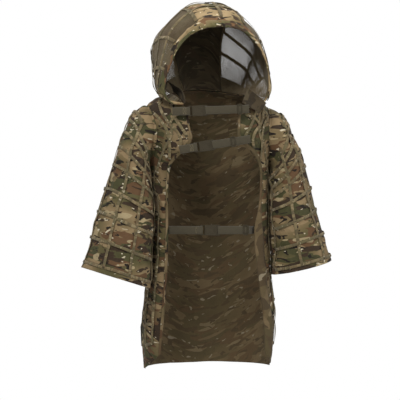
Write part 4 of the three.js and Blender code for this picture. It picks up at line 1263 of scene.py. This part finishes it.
def strap_lines(strap):
    """The webbing's line up to the female half's bar, and from the slider on."""
    origin, ex, _ = strap_axes(strap)

    def over(side, x):
        place = origin + x * ex
        return min(-RUN_Y, chest_y(side, place[0], place[2]) - origin[1] - 1.0 - WEB_THICK / 2 - 1.5)
    if strap["start"] is not None:
        lead = [[x, over("right", x)] for x in np.linspace(strap["start"] - FEMALE, -FEMALE - 4, 6)]
        tail = [[x, over("left", x)] for x in np.linspace(strap["slider"] + SLIDER_BAR, strap["end"], 5)]
        return lead, tail
    right, left = edge_at("right", strap["z"]), edge_at("left", strap["z"])
    lead = [[right[0] - 14, right[1] + BEHIND + 4], [right[0] + 6, right[1] + BEHIND],
            [right[0] + 22, right[1] - 8], [right[0] + 52, right[1] - 34]]
    tail = [[left[0] - 14, left[1] - 12], [left[0] - 7, left[1] + BEHIND - 3],
            [left[0] + 4, left[1] + BEHIND + 3], [left[0] + 18, left[1] + BEHIND + 9]]
    lead, tail = [[[x - origin[0], y - origin[1]] for x, y in line] for line in (lead, tail)]
    return (lead + [[-FEMALE - 14, -RUN_Y], [-FEMALE - 4, -RUN_Y]],
            [[strap["slider"] + SLIDER_BAR, -RUN_Y]] + tail)


for name, strap in STRAPS.items():
    origin, ex, ez = strap_axes(strap)
    lead, tail = strap_lines(strap)
    bar_at = -FEMALE + BAR_DEPTH
    slider = strap["slider"]
    near_slider = slider - SLIDER_BAR
    strap_piece(f"webbing_anchor_{name}", strap,
                lead + turn_round(bar_at, 1) + [[bar_at - 16, RUN_Y], [bar_at - 24, RUN_Y]],
                f"strap_anchor_{name}")
    strap_piece(f"webbing_tail_{name}", strap,
                [[near_slider, -RUN_Y], [slider + 8, -RUN_Y]] + tail, f"strap_adjust_{name}")
    sag = [[x, -RUN_Y] for x in np.linspace(near_slider, MALE_BAR + 6, 12)]
    loop = strap_piece(f"webbing_loop_{name}", strap,
                       sag + turn_round(MALE_BAR, -1) + [[slider - 38, RUN_Y], [slider - 31, RUN_Y]])
    tuple(ex)
    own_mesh(loop)
    sewn = box_stitch(origin, ex, ez, (-FEMALE - 12, 0), (4.5, 9.5), lead[-1][1] - WEB_THICK / 2)
    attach(merged(f"strap_stitches_{name}", sewn, THREAD_PALE), ROOT)

    def rib(x0, z0, x1, z1, y=-4.5, height=0.6):
        centre = origin + (x0 + x1) / 2 * ex + (z0 + z1) / 2 * ez + np.array([0, y, 0])
        return bar(centre, ex, FRONT_WAY, x1 - x0, z1 - z0, height)
    rails = [rib(-31, 8.5, -5, 10.0), rib(-31, -10.0, -5, -8.5), rib(-34.5, -8, -32.8, 8)]
    ticks = [rib(-4 - 1.8 * k, -6, -3.2 - 1.8 * k, 6, height=0.4) for k in range(3)]
    fine_moulding(f"buckle_female_{name}", ROOT, rails + ticks)
    fine_moulding(f"buckle_male_{name}", f"male_{name}")
    for place, sign in (("top", 1), ("bottom", -1)):
        z = sign * 13.2
        grips = [rib(-20 + 2.1 * k, z - 1.6, -19.2 + 2.1 * k, z + 1.6, y=-2.0, height=0.35) for k in range(4)]
        fine_moulding(f"latch_arm_{place}_{name}", f"latch_{place}_{name}", grips)
    fine_moulding(f"slider_{name}", f"slider_{name}")

# ---- seams and hems ----


def stitch_line(panel, rows, columns, lift=0.15, pitch=3.6):
    """Stitches along a line of row and column shares of a panel."""
    p, n = panel.at(rows, columns)
    length = run_length(p)
    at = np.arange(pitch / 2, length[-1], pitch)

    def along_line(where, values):
        return np.stack([np.interp(where, length, values[:, k]) for k in range(3)], -1)
    place, normal = along_line(at, p), unit(along_line(at, n))
    along = unit(along_line(at + 1.0, p) - place + 1e-9)
    return [bar(place[k] + normal[k] * lift, along[k], normal[k], 2.5, 0.6, 0.4) for k in range(len(at))]


SAMPLES = 500
line = np.linspace(0.005, 0.995, SAMPLES)
for side in SIGN:
    panel = sleeves[side]
    rows = [1 - d / (panel.w[-1].mean() * 1000) for d in (16, 19)]
    bars = [b for r in rows for b in stitch_line(panel, np.full(SAMPLES, r), np.linspace(0, 1, SAMPLES))]
    sleeve_bits[side].append(merged(f"hem_stitches_sleeve_{side}", bars, THREAD))
bars = []
for d in (18, 21):
    bars += stitch_line(back, np.full(SAMPLES, 1 - d / (back.w[-1].mean() * 1000)), line)
for r in (0.012, 0.988):
    bars += stitch_line(back, np.linspace(0.5, 0.999, SAMPLES), np.full(SAMPLES, r))
for side in SIGN:
    bars += stitch_line(fronts[side], np.linspace(0.0, 0.99, SAMPLES), np.full(SAMPLES, 0.90))
body_bits.append(merged("seam_stitches_body", bars, THREAD))
bars = []
for c in (0.03, 0.97):
    bars += stitch_line(crown, np.linspace(0.06, 0.97, 400), np.full(400, c))
hood_bits.append(merged("seam_stitches_hood", bars, THREAD))

# ---- body pieces move with the smock; sleeve and hood pieces only have their transforms baked ----
for obj in body_bits:
    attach(obj, ROOT)
for side, sign in SIGN.items():
    for obj in [sleeve_objs[side]] + sleeve_bits[side]:
        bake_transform(obj)
for obj in [crown_obj, rim_obj, neck_band_obj] + flaps + hood_objs + hood_bits:
    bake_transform(obj)

FLOOR_RADIUS, FLOOR_Z, FLOOR_SIDES = 2200, -1550, 96
turns = np.linspace(0, 2 * math.pi, FLOOR_SIDES + 1)[:-1]
floor_points = [[FLOOR_RADIUS * math.cos(a), FLOOR_RADIUS * math.sin(a), FLOOR_Z] for a in turns]
pale = Graph("pale_floor")
pale_tone = pale.mix(pale.noise(pale.space(), 3, 2), linear((226, 226, 226)), linear((232, 232, 232)))
to_mesh("floor", floor_points, [list(range(FLOOR_SIDES))], None, [pale.finish(pale_tone, 0.8)])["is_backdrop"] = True

{"cad": [list(c) for c in cad_box], "visual": [list(c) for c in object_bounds()]}
